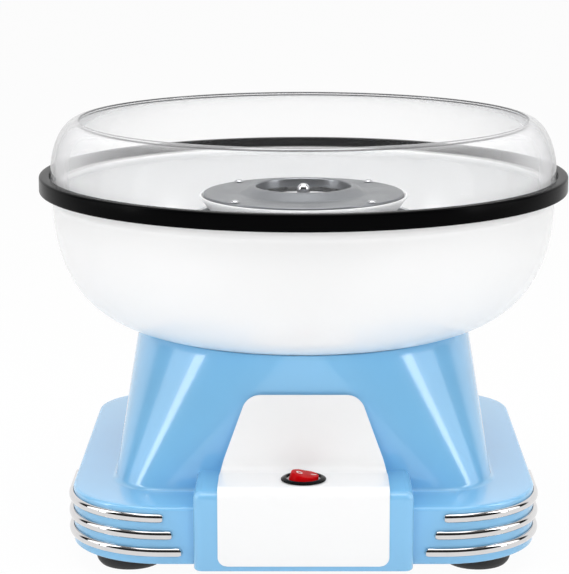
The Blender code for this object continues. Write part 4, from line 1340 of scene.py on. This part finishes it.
@dataclass
class ChromeStrips:
    """Three chrome strips round each front corner of the plinth, the lowest the longest."""

    palette: Palette
    plinth: Plinth = field(default_factory=Plinth)
    height: float = 0.0049
    depth: float = 0.0022
    side_end: float = 0.040
    levels: tuple[float, ...] = (0.0168, 0.0262, 0.0356)
    front_ends: tuple[float, ...] = (0.064, 0.069, 0.0738)
    names: tuple[str, ...] = ("lower", "middle", "upper")
    crowding: float = 0.12
    squareness: float = 0.72
    long_steps: int = 110
    round_steps: int = 16

    def build(self) -> None:
        """Make the six strips."""
        for side in Side:
            for name, level, front in zip(self.names, self.levels, self.front_ends):
                node = f"chrome_strip_{side.label}_{name}"
                bm = self.strip(level, front, side)
                piece(bm, f"strip_{side.label}_{name}", self.palette.chrome, Body.BASE, [node])

    def strip(self, level: float, front: float, side: Side) -> bmesh.types.BMesh:
        """One strip: a grid wrapped round a flattened half-round bar that follows the plinth.

        Args:
            level: height of its middle.
            front: how far from the middle of the front it starts.
            side: the corner that it goes round.

        Returns:
            The closed bar.
        """
        plinth = self.plinth
        flat = plinth.half - plinth.corner
        first = plinth.travel_to(front)
        last = plinth.corner * TURN / 4 + flat - self.side_end
        nose = self.height / 2
        bm = bmesh.new()
        bmesh.ops.create_grid(bm, x_segments=self.long_steps, y_segments=self.round_steps + 1, size=1.0)
        for vert in bm.verts:
            share = round((vert.co.x + 1) / 2 * self.long_steps) / self.long_steps
            travel = first + (last - first) * (share - self.crowding * math.sin(TURN * share) / math.pi)
            spare = min(travel - first, last - travel)
            size = 1.0 if spare >= nose else math.sqrt(max(0.0, 1 - ((nose - spare) / nose) ** 2))
            column = round((vert.co.y + 1) / 2 * (self.round_steps + 1))
            angle = math.pi * (column % (self.round_steps + 1)) / self.round_steps
            up = nose * math.cos(angle) * size
            out = TOUCH + self.depth * (math.sin(angle) * size) ** self.squareness
            place, outward = plinth.along(travel)
            spot = place + outward * out
            vert.co = (spot.x, spot.y, level + up)
        bmesh.ops.remove_doubles(bm, verts=bm.verts, dist=WELD)
        if side is Side.LEFT:
            bmesh.ops.scale(bm, vec=(-1, 1, 1), verts=bm.verts)
        return tidy(bm)


@dataclass
class Feet:
    """Four rubber feet under the plinth."""

    palette: Palette
    across: float = 0.0945
    along: float = 0.0905
    radius: float = 0.0185
    tread: float = 0.0160
    top: float = 0.0097
    bevel: float = 0.003
    bore: float = 0.0023
    counterbore: float = 0.0050
    counterbore_depth: float = 0.0045
    top_edge: float = 0.0008
    side_edge: float = 0.0016
    tread_edge: float = 0.0010
    counterbore_edge: float = 0.0006

    def build(self) -> None:
        """Make the feet."""
        for row, y in (("front", -self.along), ("rear", self.along)):
            for side in Side:
                place = Matrix.Translation((side.value * self.across, y, 0))
                name = f"foot_{row}_{side.label}"
                bm = moved(self.foot().turn(SMALL_STEPS), place)
                piece(bm, f"rubber_{name}", self.palette.rubber, Body.BASE, [name])

    def foot(self) -> Section:
        """The foot's half section, with a counterbore for its screw."""
        return Section(
            [
                (self.bore, self.top),
                (self.radius, self.top, self.top_edge),
                (self.radius, self.bevel, self.side_edge),
                (self.tread, 0.0, self.tread_edge),
                (self.counterbore, 0.0, self.counterbore_edge),
                (self.counterbore, self.counterbore_depth),
                (self.bore, self.counterbore_depth),
            ]
        )


@dataclass
class CordGland:
    """The rubber bush in the rear wall, where a supply cord would go in."""

    palette: Palette
    wall: float = Plinth.half
    bore: float = 0.0036
    radius: float = 0.0062
    flange: float = 0.0085
    chamfer: float = 0.0012
    stands_out: float = 0.0032
    reaches_in: float = 0.0085
    soft_edge: float = 0.0006
    face_edge: float = 0.0008

    def build(self) -> None:
        """Make the bush, turned to point out of the rear wall."""
        seat = self.wall + TOUCH
        face, tail = self.wall + self.stands_out, self.wall - self.reaches_in
        section = Section(
            [
                (self.bore, face, self.soft_edge),
                (self.flange - self.chamfer, face, self.face_edge),
                (self.flange, face - self.chamfer, self.soft_edge),
                (self.flange, seat),
                (self.radius, seat),
                (self.radius, tail),
                (self.bore, tail),
            ]
        )
        place = Matrix.Translation((0, 0, GLAND_HEIGHT)) @ Matrix.Rotation(-TURN / 4, 4, "X")
        bm = moved(section.turn(SMALL_STEPS), place)
        piece(bm, "gland", self.palette.rubber, Body.BASE, ["cord_gland"])


@dataclass
class RockerSwitch:
    """The round switch on the panel's ledge: bezel, body, and a red rocker tipped to the right."""

    palette: Palette
    seat: tuple[float, float, float] = (0.0, -0.1245, 0.0562)
    bezel_radius: float = 0.0120
    bezel_height: float = 0.0012
    bezel_slope: float = 0.0017
    bezel_brim: float = 0.0004
    bezel_edge: float = 0.0005
    brim_edge: float = 0.0002
    body_radius: float = 0.0102
    body_depth: float = 0.016
    body_edge: float = 0.0006
    well_radius: float = 0.0093
    well_depth: float = 0.006
    well_edge: float = 0.0003
    rocker_radius: float = 0.0083
    rocker_top_radius: float = 0.0073
    rocker_top: float = 0.0043
    rocker_bottom: float = -0.0022
    rocker_tilt: float = math.radians(10)
    rocker_edge: Rounding = Rounding(0.0006, 4)
    rocker_edge_angle: float = math.radians(50)
    valley: float = math.radians(5)
    pivot: float = -0.0012
    pin_radius: float = 0.0009
    pin_half: float = 0.0096
    mark_lift: float = 0.00012
    mark_edge: float = 0.00006
    ring_place: float = -0.0030
    ring_inner: float = 0.0011
    ring_outer: float = 0.0017
    bar_place: float = 0.0046
    bar_half_length: float = 0.0015
    bar_half_width: float = 0.00035
    bar_edge: Rounding = Rounding(0.0003, 3)

    def build(self) -> None:
        """Make the bezel, the rocker and its two marks."""
        palette = self.palette
        seat = Matrix.Translation(self.seat)
        bezel = moved(self.bezel().turn(ROUND_STEPS), seat)
        piece(bezel, "switch_bezel", palette.bezel, Body.BASE, ["switch_housing"])
        tip = seat @ Matrix.Translation((0, 0, self.pivot)) @ Matrix.Rotation(self.rocker_tilt, 4, "Y")
        rocker = moved(self.rocker(), tip)
        piece(rocker, "rocker_cap", palette.red, Body.ROCKER, ["rocker"])
        piece(moved(self.marks(), tip), "rocker_marks", palette.mark, Body.ROCKER)

    def bezel(self) -> Section:
        """The half section of the bezel with the switch body under it."""
        top = TOUCH + self.bezel_height
        return Section(
            [
                (0, -self.well_depth),
                (self.well_radius, -self.well_depth),
                (self.well_radius, top, self.well_edge),
                (self.bezel_radius - self.bezel_slope, top, self.bezel_edge),
                (self.bezel_radius, TOUCH + self.bezel_brim, self.brim_edge),
                (self.bezel_radius, TOUCH),
                (self.body_radius, TOUCH),
                (self.body_radius, -self.body_depth, self.body_edge),
                (0, -self.body_depth),
            ],
            closed=False,
        )

    def rocker(self) -> bmesh.types.BMesh:
        """The rocker: a short drum with a shallow valley across its top, and its pin."""
        middle = Matrix.Translation((0, 0, (self.rocker_top + self.rocker_bottom) / 2))
        radii = (self.rocker_radius, self.rocker_top_radius)
        bm = drum(radii, self.rocker_top - self.rocker_bottom, middle, ROUND_STEPS)
        round_edges(bm, sharper_than(self.rocker_edge_angle), self.rocker_edge)
        whole = [*bm.verts, *bm.edges, *bm.faces]
        bmesh.ops.bisect_plane(bm, geom=whole, plane_co=(0, 0, 0), plane_no=(1, 0, 0))
        for vert in bm.verts:
            if vert.co.z > 0:
                vert.co.z += abs(vert.co.x) * math.tan(self.valley)
        across = Matrix.Rotation(TURN / 4, 4, "X")
        pin = drum((self.pin_radius, self.pin_radius), 2 * self.pin_half, across, PIN_STEPS)
        return joined([tidy(bm), pin])

    def marks(self) -> bmesh.types.BMesh:
        """A ring on the raised end and a bar on the pressed end, inlaid in the rocker's top."""
        lift = self.mark_lift
        ring = Section(
            [
                (self.ring_inner, -lift),
                (self.ring_inner, lift, self.mark_edge),
                (self.ring_outer, lift, self.mark_edge),
                (self.ring_outer, -lift),
            ]
        ).turn(SMALL_STEPS)
        corner = Vector((self.bar_half_length, self.bar_half_width, lift))
        bar = block(-corner, corner)
        round_edges(bar, upright, self.bar_edge)
        parts = []
        for mark, x in ((ring, self.ring_place), (bar, self.bar_place)):
            height = self.rocker_top + abs(x) * math.tan(self.valley)
            lean = -math.copysign(self.valley, x)
            parts.append(moved(mark, Matrix.Translation((x, 0, height)) @ Matrix.Rotation(lean, 4, "Y")))
        return joined(parts)


@dataclass
class FlossBowl:
    """The white bowl, the black ring on its flange and the clear guard that stands in the ring."""

    palette: Palette
    radius: float = 0.1426
    shoulder: float = 0.192
    pole_radius: float = 0.0421
    pole: float = 0.11276
    side_power: float = 2 / 3.45
    base_power: float = 2 / 2.337
    spacing_power: float = 1.25
    outside_steps: int = 60
    inside_steps: int = 56
    wall: float = 0.0028
    flat_radius: float = 0.082
    hole_radius: float = 0.079
    collar_radius: float = 0.0815
    collar_top: float = 0.126
    collar_edge: float = 0.0008
    flange_radius: float = 0.1464
    flange_inner: float = 0.1375
    flange_bottom: float = 0.1945
    flange_top: float = 0.1965
    flange_edge: float = 0.0008
    flange_foot_edge: float = 0.0006
    bead: float = 0.0004
    bead_drop: float = 0.0042
    bead_foot_drop: float = 0.0048
    bead_edge: float = 0.0002
    rim_radius: float = 0.150
    rim_top: float = 0.202
    rim_bottom: float = 0.1928
    rim_gap: float = 0.0008
    rim_foot_gap: float = 0.0006
    rim_mouth_edge: float = 0.0006
    rim_top_edge: float = 0.0012
    rim_bottom_edge: float = 0.0010
    rim_foot_edge: float = 0.0004
    guard_radius: float = 0.1434
    guard_shoulder: float = 0.203
    guard_lip_edge: float = 0.0007
    guard_foot_edge: float = 0.0005
    guard_steps: int = 28
    tab_radius: float = 0.075
    tab_top: float = 0.1180
    tab_sink: float = 0.001
    tab_sweep: float = math.radians(28)

    def build(self) -> None:
        """Make the bowl with its tabs, the ring and the guard."""
        palette = self.palette
        piece(self.bowl(), "floss_bowl", palette.white, Body.BOWL, ["bowl"])
        ring = self.ring().turn(FINE_STEPS)
        piece(ring, "bumper_ring", palette.black, Body.BOWL, ["rim_ring"])
        guard = self.guard().turn(FINE_STEPS)
        piece(guard, "clear_guard", palette.clear, Body.GUARD, ["splash_guard"])

    def outline(self, inset: float, until: float, steps: int) -> list[Point]:
        """The bowl's side, from its shoulder down.

        Args:
            inset: how far inside the outer face.
            until: radius where it ends.
            steps: number of points, less one.

        Returns:
            Radius and height of each point.
        """
        span = self.radius - inset - self.pole_radius
        drop = self.shoulder - self.pole - inset
        last = math.acos(((until - self.pole_radius) / span) ** (1 / self.side_power))
        points = []
        for i in range(steps + 1):
            angle = last * (i / steps) ** self.spacing_power
            radius = self.pole_radius + span * math.cos(angle) ** self.side_power
            points.append((radius, self.shoulder - drop * math.sin(angle) ** self.base_power))
        return points

    def bowl(self) -> bmesh.types.BMesh:
        """The bowl, whose tabs lock under the spigot's lugs."""
        outside = self.outline(0.0, self.flat_radius, self.outside_steps)
        inside = self.outline(self.wall, self.collar_radius, self.inside_steps)
        flat = outside[-1][1]
        bead = self.radius + self.bead
        section = Section(
            [
                (self.flange_inner, self.flange_top, self.flange_edge),
                (self.flange_radius, self.flange_top),
                (self.flange_radius, self.flange_bottom),
                (bead, self.flange_bottom),
                (bead, self.shoulder - self.bead_drop, self.bead_edge),
                *[point for point in outside if point[1] < self.shoulder - self.bead_foot_drop],
                (self.hole_radius, flat),
                (self.hole_radius, self.collar_top, self.collar_edge),
                (self.collar_radius, self.collar_top, self.collar_edge),
                *reversed(inside),
                (self.flange_inner, self.flange_bottom, self.flange_foot_edge),
            ]
        )
        outer, low = self.hole_radius + self.tab_sink, flat + TOUCH
        tabs = [
            sector(self.tab_radius, outer, low, self.tab_top, angle, self.tab_sweep)
            for angle in lock_angles()
        ]
        return joined([section.turn(FINE_STEPS), *tabs])

    def ring(self) -> Section:
        """The black ring's half section: a channel that snaps over the bowl's flange."""
        mouth = self.guard_radius + self.rim_gap
        groove = self.flange_radius + TOUCH
        foot = self.radius + self.rim_foot_gap
        return Section(
            [
                (mouth, self.rim_top, self.rim_mouth_edge),
                (self.rim_radius, self.rim_top, self.rim_top_edge),
                (self.rim_radius, self.rim_bottom, self.rim_bottom_edge),
                (foot, self.rim_bottom, self.rim_foot_edge),
                (foot, self.flange_bottom - TOUCH),
                (groove, self.flange_bottom - TOUCH),
                (groove, self.flange_top + TOUCH),
                (mouth, self.flange_top + TOUCH),
            ]
        )

    def guard(self) -> Section:
        """The guard's half section: upright in the ring, then drawn in to a lipped mouth."""
        foot = self.flange_top + TOUCH
        faces = []
        for inset in (0.0, GUARD_WALL):
            reach = self.guard_radius - GUARD_MOUTH - inset
            rise = GUARD_TOP - self.guard_shoulder - inset
            faces.append(
                [
                    (GUARD_MOUTH + reach * across, self.guard_shoulder + rise * up)
                    for across, up in quarter(self.guard_steps)
                ]
            )
        (*outside, outer_lip), (*inside, inner_lip) = faces
        return Section(
            [
                (*outer_lip, self.guard_lip_edge),
                *reversed(outside),
                (self.guard_radius, foot, self.guard_foot_edge),
                (self.guard_radius - GUARD_WALL, foot, self.guard_foot_edge),
                *inside,
                (*inner_lip, self.guard_lip_edge),
            ]
        )


@dataclass
class SpinningHead:
    """What spins: the top plate with its sugar well, the pan under it, screws and domed nut."""

    palette: Palette
    plane: float = 0.190
    sheet: float = 0.0018
    radius: float = 0.0572
    crest: Corner = (0.0283, 0.1942, 0.0005)
    crest_outside: Corner = (0.0300, 0.1938, 0.0008)
    crest_inside: Corner = (0.0272, 0.1936, 0.0005)
    crest_under: Corner = (0.0300, 0.1914)
    cone_foot: float = 0.0368
    cone_foot_under: float = 0.0378
    cone_foot_edge: float = 0.0012
    plate_edge: float = 0.0006
    plate_under_edge: float = 0.0004
    wall_foot: float = 0.1890
    wall_inner: float = 0.0268
    wall_outer: float = 0.0284
    bore: float = 0.0023
    well_floor: float = 0.187
    well_radius: float = 0.024
    well_edge: float = 0.0015
    trough: float = 0.183
    trough_inner: float = 0.030
    trough_outer: float = 0.0525
    trough_edge: float = 0.0012
    pan_sheet: float = 0.002
    pan_radius: float = 0.0595
    pan_rim: float = 0.1890
    pan_rim_foot: float = 0.1880
    pan_rim_inner: float = 0.0583
    pan_rim_inner_foot: float = 0.0578
    pan_rim_edge: float = 0.0003
    under_outer: float = 0.0540
    under_inner: float = 0.029
    under_edge: float = 0.001
    under_well: float = 0.023
    hub_radius: float = 0.008
    hub_bottom: float = 0.178
    hub_edge: float = 0.0005
    screw_count: int = 4
    screw_circle: float = 0.0537
    screw_radius: float = 0.0026
    screw_height: float = 0.0013
    screw_brim: float = 0.0002
    screw_dome: tuple[Point, ...] = ((0.55, 0.00018), (0.88, 0.0006))  # share of the radius, drop
    screw_dome_edge: float = 0.0005
    screw_shank: float = 0.0014
    screw_tip: float = 0.0005
    screw_turn: float = 1.7
    nut_top: float = 0.1952
    nut_radius: float = 0.0036
    nut_collar: float = 0.0012
    nut_collar_width: float = 0.0011
    nut_collar_edges: Point = (0.0004, 0.0003)
    nut_wall: float = 0.0034
    nut_steps: int = 14

    def build(self) -> None:
        """Make the head's visible pieces."""
        palette, spinner = self.palette, Body.SPINNER
        top = self.top().turn(ROUND_STEPS)
        piece(top, "top_plate", palette.flange, spinner, ["head_top"])
        pan = self.pan().turn(ROUND_STEPS)
        piece(pan, "sugar_pan", palette.bright, spinner, ["head_pan"])
        for i in range(self.screw_count):
            angle = TURN * (i + 0.5) / self.screw_count
            place = Vector((math.cos(angle), math.sin(angle), 0)) * self.screw_circle
            turned = Matrix.Translation(place) @ Matrix.Rotation(angle * self.screw_turn, 4, "Z")
            bm = moved(self.screw().turn(SCREW_STEPS), turned)
            piece(bm, f"plate_screw_{i + 1}", palette.steel, spinner, [f"head_screw_{i + 1}"])
        nut = self.nut().turn(SMALL_STEPS)
        piece(nut, "dome_nut", palette.polished, spinner, ["head_nut"])

    def top(self) -> Section:
        """The top plate: flat flange, raised cone and the wall of the well."""
        under = self.plane - self.sheet
        return Section(
            [
                self.crest,
                self.crest_outside,
                (self.cone_foot, self.plane, self.cone_foot_edge),
                (self.radius, self.plane, self.plate_edge),
                (self.radius, under, self.plate_under_edge),
                (self.cone_foot_under, under),
                self.crest_under,
                (self.wall_outer, self.wall_foot),
                (self.wall_inner, self.wall_foot),
                self.crest_inside,
            ]
        )

    def pan(self) -> Section:
        """The pan: floor of the well, trough and bright rim, with the hub below."""
        trough_under, well_under = self.trough - self.pan_sheet, self.well_floor - self.pan_sheet
        return Section(
            [
                (self.bore, self.well_floor),
                (self.well_radius, self.well_floor, self.well_edge),
                (self.trough_inner, self.trough, self.trough_edge),
                (self.trough_outer, self.trough),
                (self.pan_rim_inner_foot, self.pan_rim_foot),
                (self.pan_rim_inner, self.pan_rim, self.pan_rim_edge),
                (self.pan_radius, self.pan_rim, self.pan_rim_edge),
                (self.pan_radius, self.pan_rim_foot, self.pan_rim_edge),
                (self.under_outer, trough_under, self.trough_edge),
                (self.under_inner, trough_under, self.under_edge),
                (self.under_well, well_under),
                (self.hub_radius, well_under),
                (self.hub_radius, self.hub_bottom, self.hub_edge),
                (self.bore, self.hub_bottom),
            ]
        )

    def screw(self) -> Section:
        """The half section of a small domed screw."""
        seat = self.plane + TOUCH
        crown = seat + self.screw_height
        tip = self.trough - self.screw_tip
        dome = [
            (self.screw_radius * share, crown - drop, self.screw_dome_edge) for share, drop in self.screw_dome
        ]
        return Section(
            [
                (0, crown),
                *dome,
                (self.screw_radius, seat + self.screw_brim),
                (self.screw_radius, seat),
                (self.screw_shank, seat),
                (self.screw_shank, tip),
                (0, tip),
            ],
            closed=False,
        )

    def nut(self) -> Section:
        """The half section of the domed nut that holds the head on its shaft."""
        seat = self.well_floor + TOUCH
        collar = seat + self.nut_collar
        brim = self.nut_radius + self.nut_collar_width
        middle, roof = self.nut_top - self.nut_radius, self.nut_top - self.nut_wall
        upper_edge, lower_edge = self.nut_collar_edges
        *side, _ = [(self.nut_radius * x, middle + self.nut_radius * z) for x, z in quarter(self.nut_steps)]
        return Section(
            [
                (0, self.nut_top),
                *reversed(side),
                (self.nut_radius, collar, upper_edge),
                (brim, collar, lower_edge),
                (brim, seat),
                (self.bore, seat),
                (self.bore, roof),
                (0, roof),
            ],
            closed=False,
        )


@dataclass
class HeaterCup:
    """The aluminium cup that shields the heater, standing on the deck inside the bowl's collar."""

    palette: Palette
    floor: float = 0.1142
    sheet: float = 0.0012
    radius: float = 0.064
    lower_radius: float = 0.0612
    ledge: float = 0.160
    top: float = 0.1765
    hole: float = 0.009
    roll: float = 0.0015
    roll_height: float = 0.0014
    soft_edge: float = 0.0006
    roll_edge: float = 0.0005
    floor_edge: float = 0.001

    def build(self) -> None:
        """Make the cup."""
        inner, lower = self.radius - self.sheet, self.lower_radius - self.sheet
        roll, roll_foot = self.radius + self.roll, self.top - self.roll_height
        section = Section(
            [
                (self.hole, self.floor + self.sheet),
                (lower, self.floor + self.sheet),
                (lower, self.ledge),
                (inner, self.ledge),
                (inner, self.top, self.soft_edge),
                (roll, self.top, self.soft_edge),
                (roll, roll_foot, self.roll_edge),
                (self.radius, roll_foot),
                (self.radius, self.ledge - self.sheet, self.soft_edge),
                (self.lower_radius, self.ledge - self.sheet),
                (self.lower_radius, self.floor, self.floor_edge),
                (self.hole, self.floor),
            ]
        )
        bm = section.turn(ROUND_STEPS)
        piece(bm, "heat_shield_cup", self.palette.cup, Body.BASE, ["heater_cup"])


@dataclass
class HiddenPieces:
    """CAD nodes whose shape is kept, dressed in finishes of their own."""

    palette: Palette
    nodes: dict[str, bpy.types.Object]

    def build(self) -> None:
        """Give each kept node its finish."""
        palette = self.palette
        finishes = {
            "bottom_plate": palette.blue,
            "floss_screen": palette.steel,
            "foot_screw": palette.steel,
            "switch_terminal": palette.brass,
            "motor_can": palette.steel,
            "motor_end_cap": palette.bezel,
            "motor_magnet": palette.ferrite,
            "motor_brush": palette.carbon,
            "upper_bush": palette.brass,
            "lower_bush": palette.brass,
            "motor_bracket": palette.steel,
            "motor_damper": palette.rubber,
            "bracket_screw": palette.steel,
            "heat_reflector": palette.cup,
            "heater_element": palette.steel,
            "heater_bush": palette.ceramic,
            "thermal_cutout": palette.ceramic,
            "lead_": palette.sleeve,
            "shaft": palette.polished,
            "rotor": palette.steel,
            "commutator": palette.brass,
        }
        for name, node in self.nodes.items():
            if node.hide_render:
                continue
            for start, material in finishes.items():
                if name.startswith(start):
                    node.data.materials.clear()
                    node.data.materials.append(material)
                    LOG.info("%s: kept, in %s", name, material.name)


@dataclass(frozen=True)
class Lamp:
    """A rectangular lamp that faces a point on the machine's axis.

    Args:
        name: the lamp's name.
        place: where it hangs.
        aim: height of the point that it faces.
        size: its width and height.
        power: its power in watts.
        mirrored: whether shiny surfaces show it.
        lights: whether it lights plain surfaces.
    """

    name: str
    place: tuple[float, float, float]
    aim: float
    size: Point
    power: float
    mirrored: bool = True
    lights: bool = True

    def build(self) -> None:
        """Hang the lamp."""
        light = bpy.data.lights.new(self.name, "AREA")
        light.shape = "RECTANGLE"
        light.size, light.size_y = self.size
        light.energy = self.power
        made = placed(self.name, light)
        made.location = self.place
        towards = Vector((0, 0, self.aim)) - Vector(self.place)
        made.rotation_euler = towards.to_track_quat("-Z", "Y").to_euler()
        made.visible_glossy = self.mirrored
        made.visible_diffuse = self.lights


@dataclass
class Studio:
    """A plain pale floor, soft lamps and the photograph's camera."""

    floor_size: float = 14.0
    floor_level: float = -0.0002
    floor_paint: float = 0.82
    floor_white: float = 0.96
    backdrop: float = 1.0
    backdrop_edge: Point = (0.40, 0.55)
    surround: float = 0.18
    low_front: float = 0.02
    low_front_edge: Point = (0.35, 0.8)
    body_aim: float = 0.1
    side_aim: float = 0.12
    strip_place: tuple[float, float, float] = (1.256, -0.372, 0.66)
    wing_place: tuple[float, float, float] = (1.36, -0.038, 0.66)
    camera_place: tuple[float, float, float] = (0.0, -1.250, 0.3874)
    camera_pitch: float = math.radians(11.43)
    lens: float = 138.86
    sensor: float = 36.0
    shift: float = -0.0331
    clip: float = 0.01

    def build(self) -> None:
        """Make the camera, the floor, the lamps and the world."""
        self.camera()
        self.floor()
        for lamp in self.lamps():
            lamp.build()
        self.world()
        bpy.context.scene.view_settings.view_transform = "Standard"

    def camera(self) -> None:
        """The camera that took the photograph."""
        lens = bpy.data.cameras.new("camera")
        lens.lens = self.lens
        lens.sensor_width = self.sensor
        lens.shift_x = self.shift
        lens.clip_start = self.clip
        seen = placed("camera", lens)
        seen.location = self.camera_place
        seen.rotation_euler = (TURN / 4 - self.camera_pitch, 0, 0)
        bpy.context.scene.camera = seen

    def floor(self) -> None:
        """A floor that is white to the camera and still takes the machine's shadow."""
        bm = bmesh.new()
        bmesh.ops.create_grid(bm, x_segments=1, y_segments=1, size=self.floor_size / 2)
        bmesh.ops.translate(bm, vec=(0, 0, self.floor_level), verts=bm.verts)
        mesh = mesh_of(bm, "floor")
        made = placed("floor", mesh)
        material, graph = Graph.of_material("pale_floor")
        paint = graph.node("ShaderNodeBsdfDiffuse", sockets={"Color": (*[self.floor_paint] * 3, 1.0)})
        glow = graph.node("ShaderNodeEmission", sockets={"Color": (1.0, 1.0, 1.0, 1.0), "Strength": 1.0})
        shown = graph.rays("Is Camera Ray", "Is Glossy Ray", "Is Transmission Ray")
        graph.surface(graph.blend(shown * self.floor_white, paint, glow))
        mesh.materials.append(material)

    def lamps(self) -> list[Lamp]:
        """A soft box overhead, a wide one behind the camera, and at each side a strip and a wing.

        Returns:
            The lamps. The wings only show in shiny surfaces, and the front one never does.
        """
        lamps = [
            Lamp("overhead", (0.0, -0.15, 1.55), self.body_aim, size=(1.5, 1.2), power=19.5),
            Lamp("front", (0.0, -2.3, 0.85), self.body_aim, size=(2.4, 1.2), power=24.5, mirrored=False),
        ]
        for side in Side:
            strip, wing = (
                (side.value * across, along, height)
                for across, along, height in (self.strip_place, self.wing_place)
            )
            lamps += [
                Lamp(f"strip_{side.label}", strip, self.side_aim, size=(0.2, 1.3), power=5.2),
                Lamp(f"wing_{side.label}", wing, self.side_aim, size=(0.5, 1.3), power=3.4, lights=False),
            ]
        return lamps

    def world(self) -> None:
        """Soft light, bright behind the machine and dark low in front, all white to the camera."""
        world = bpy.data.worlds.new("studio")
        world.use_nodes = True
        bpy.context.scene.world = world
        graph = Graph(world.node_tree)
        towards = graph.value("ShaderNodeTexCoord", output="Generated")
        _, back, up = graph.axes(towards)
        near, far, low = (self.surround,) * 3, (self.backdrop,) * 3, (self.low_front,) * 3
        front = graph.mix(up.between(*self.low_front_edge), low, near)
        around = graph.mix(back.between(*self.backdrop_edge), front, far)
        colour = graph.mix(graph.rays("Is Camera Ray", "Is Transmission Ray"), around, far)
        sky = graph.node("ShaderNodeBackground", sockets={"Color": colour, "Strength": 1.0})
        graph.node("ShaderNodeOutputWorld", sockets={"Surface": sky})


def main() -> None:
    """Load the frame, dress it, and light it."""
    logging.basicConfig(level=logging.INFO, format="%(message)s")
    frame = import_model()
    Studio().build()
    palette = Palette()
    panel = FrontPanel(palette)
    Housing(palette).build(panel)
    panel.build()
    ChromeStrips(palette).build()
    Feet(palette).build()
    CordGland(palette).build()
    RockerSwitch(palette).build()
    HeaterCup(palette).build()
    SpinningHead(palette).build()
    FlossBowl(palette).build()
    HiddenPieces(palette, frame["nodes"]).build()


if __name__ == "__main__":
    main()
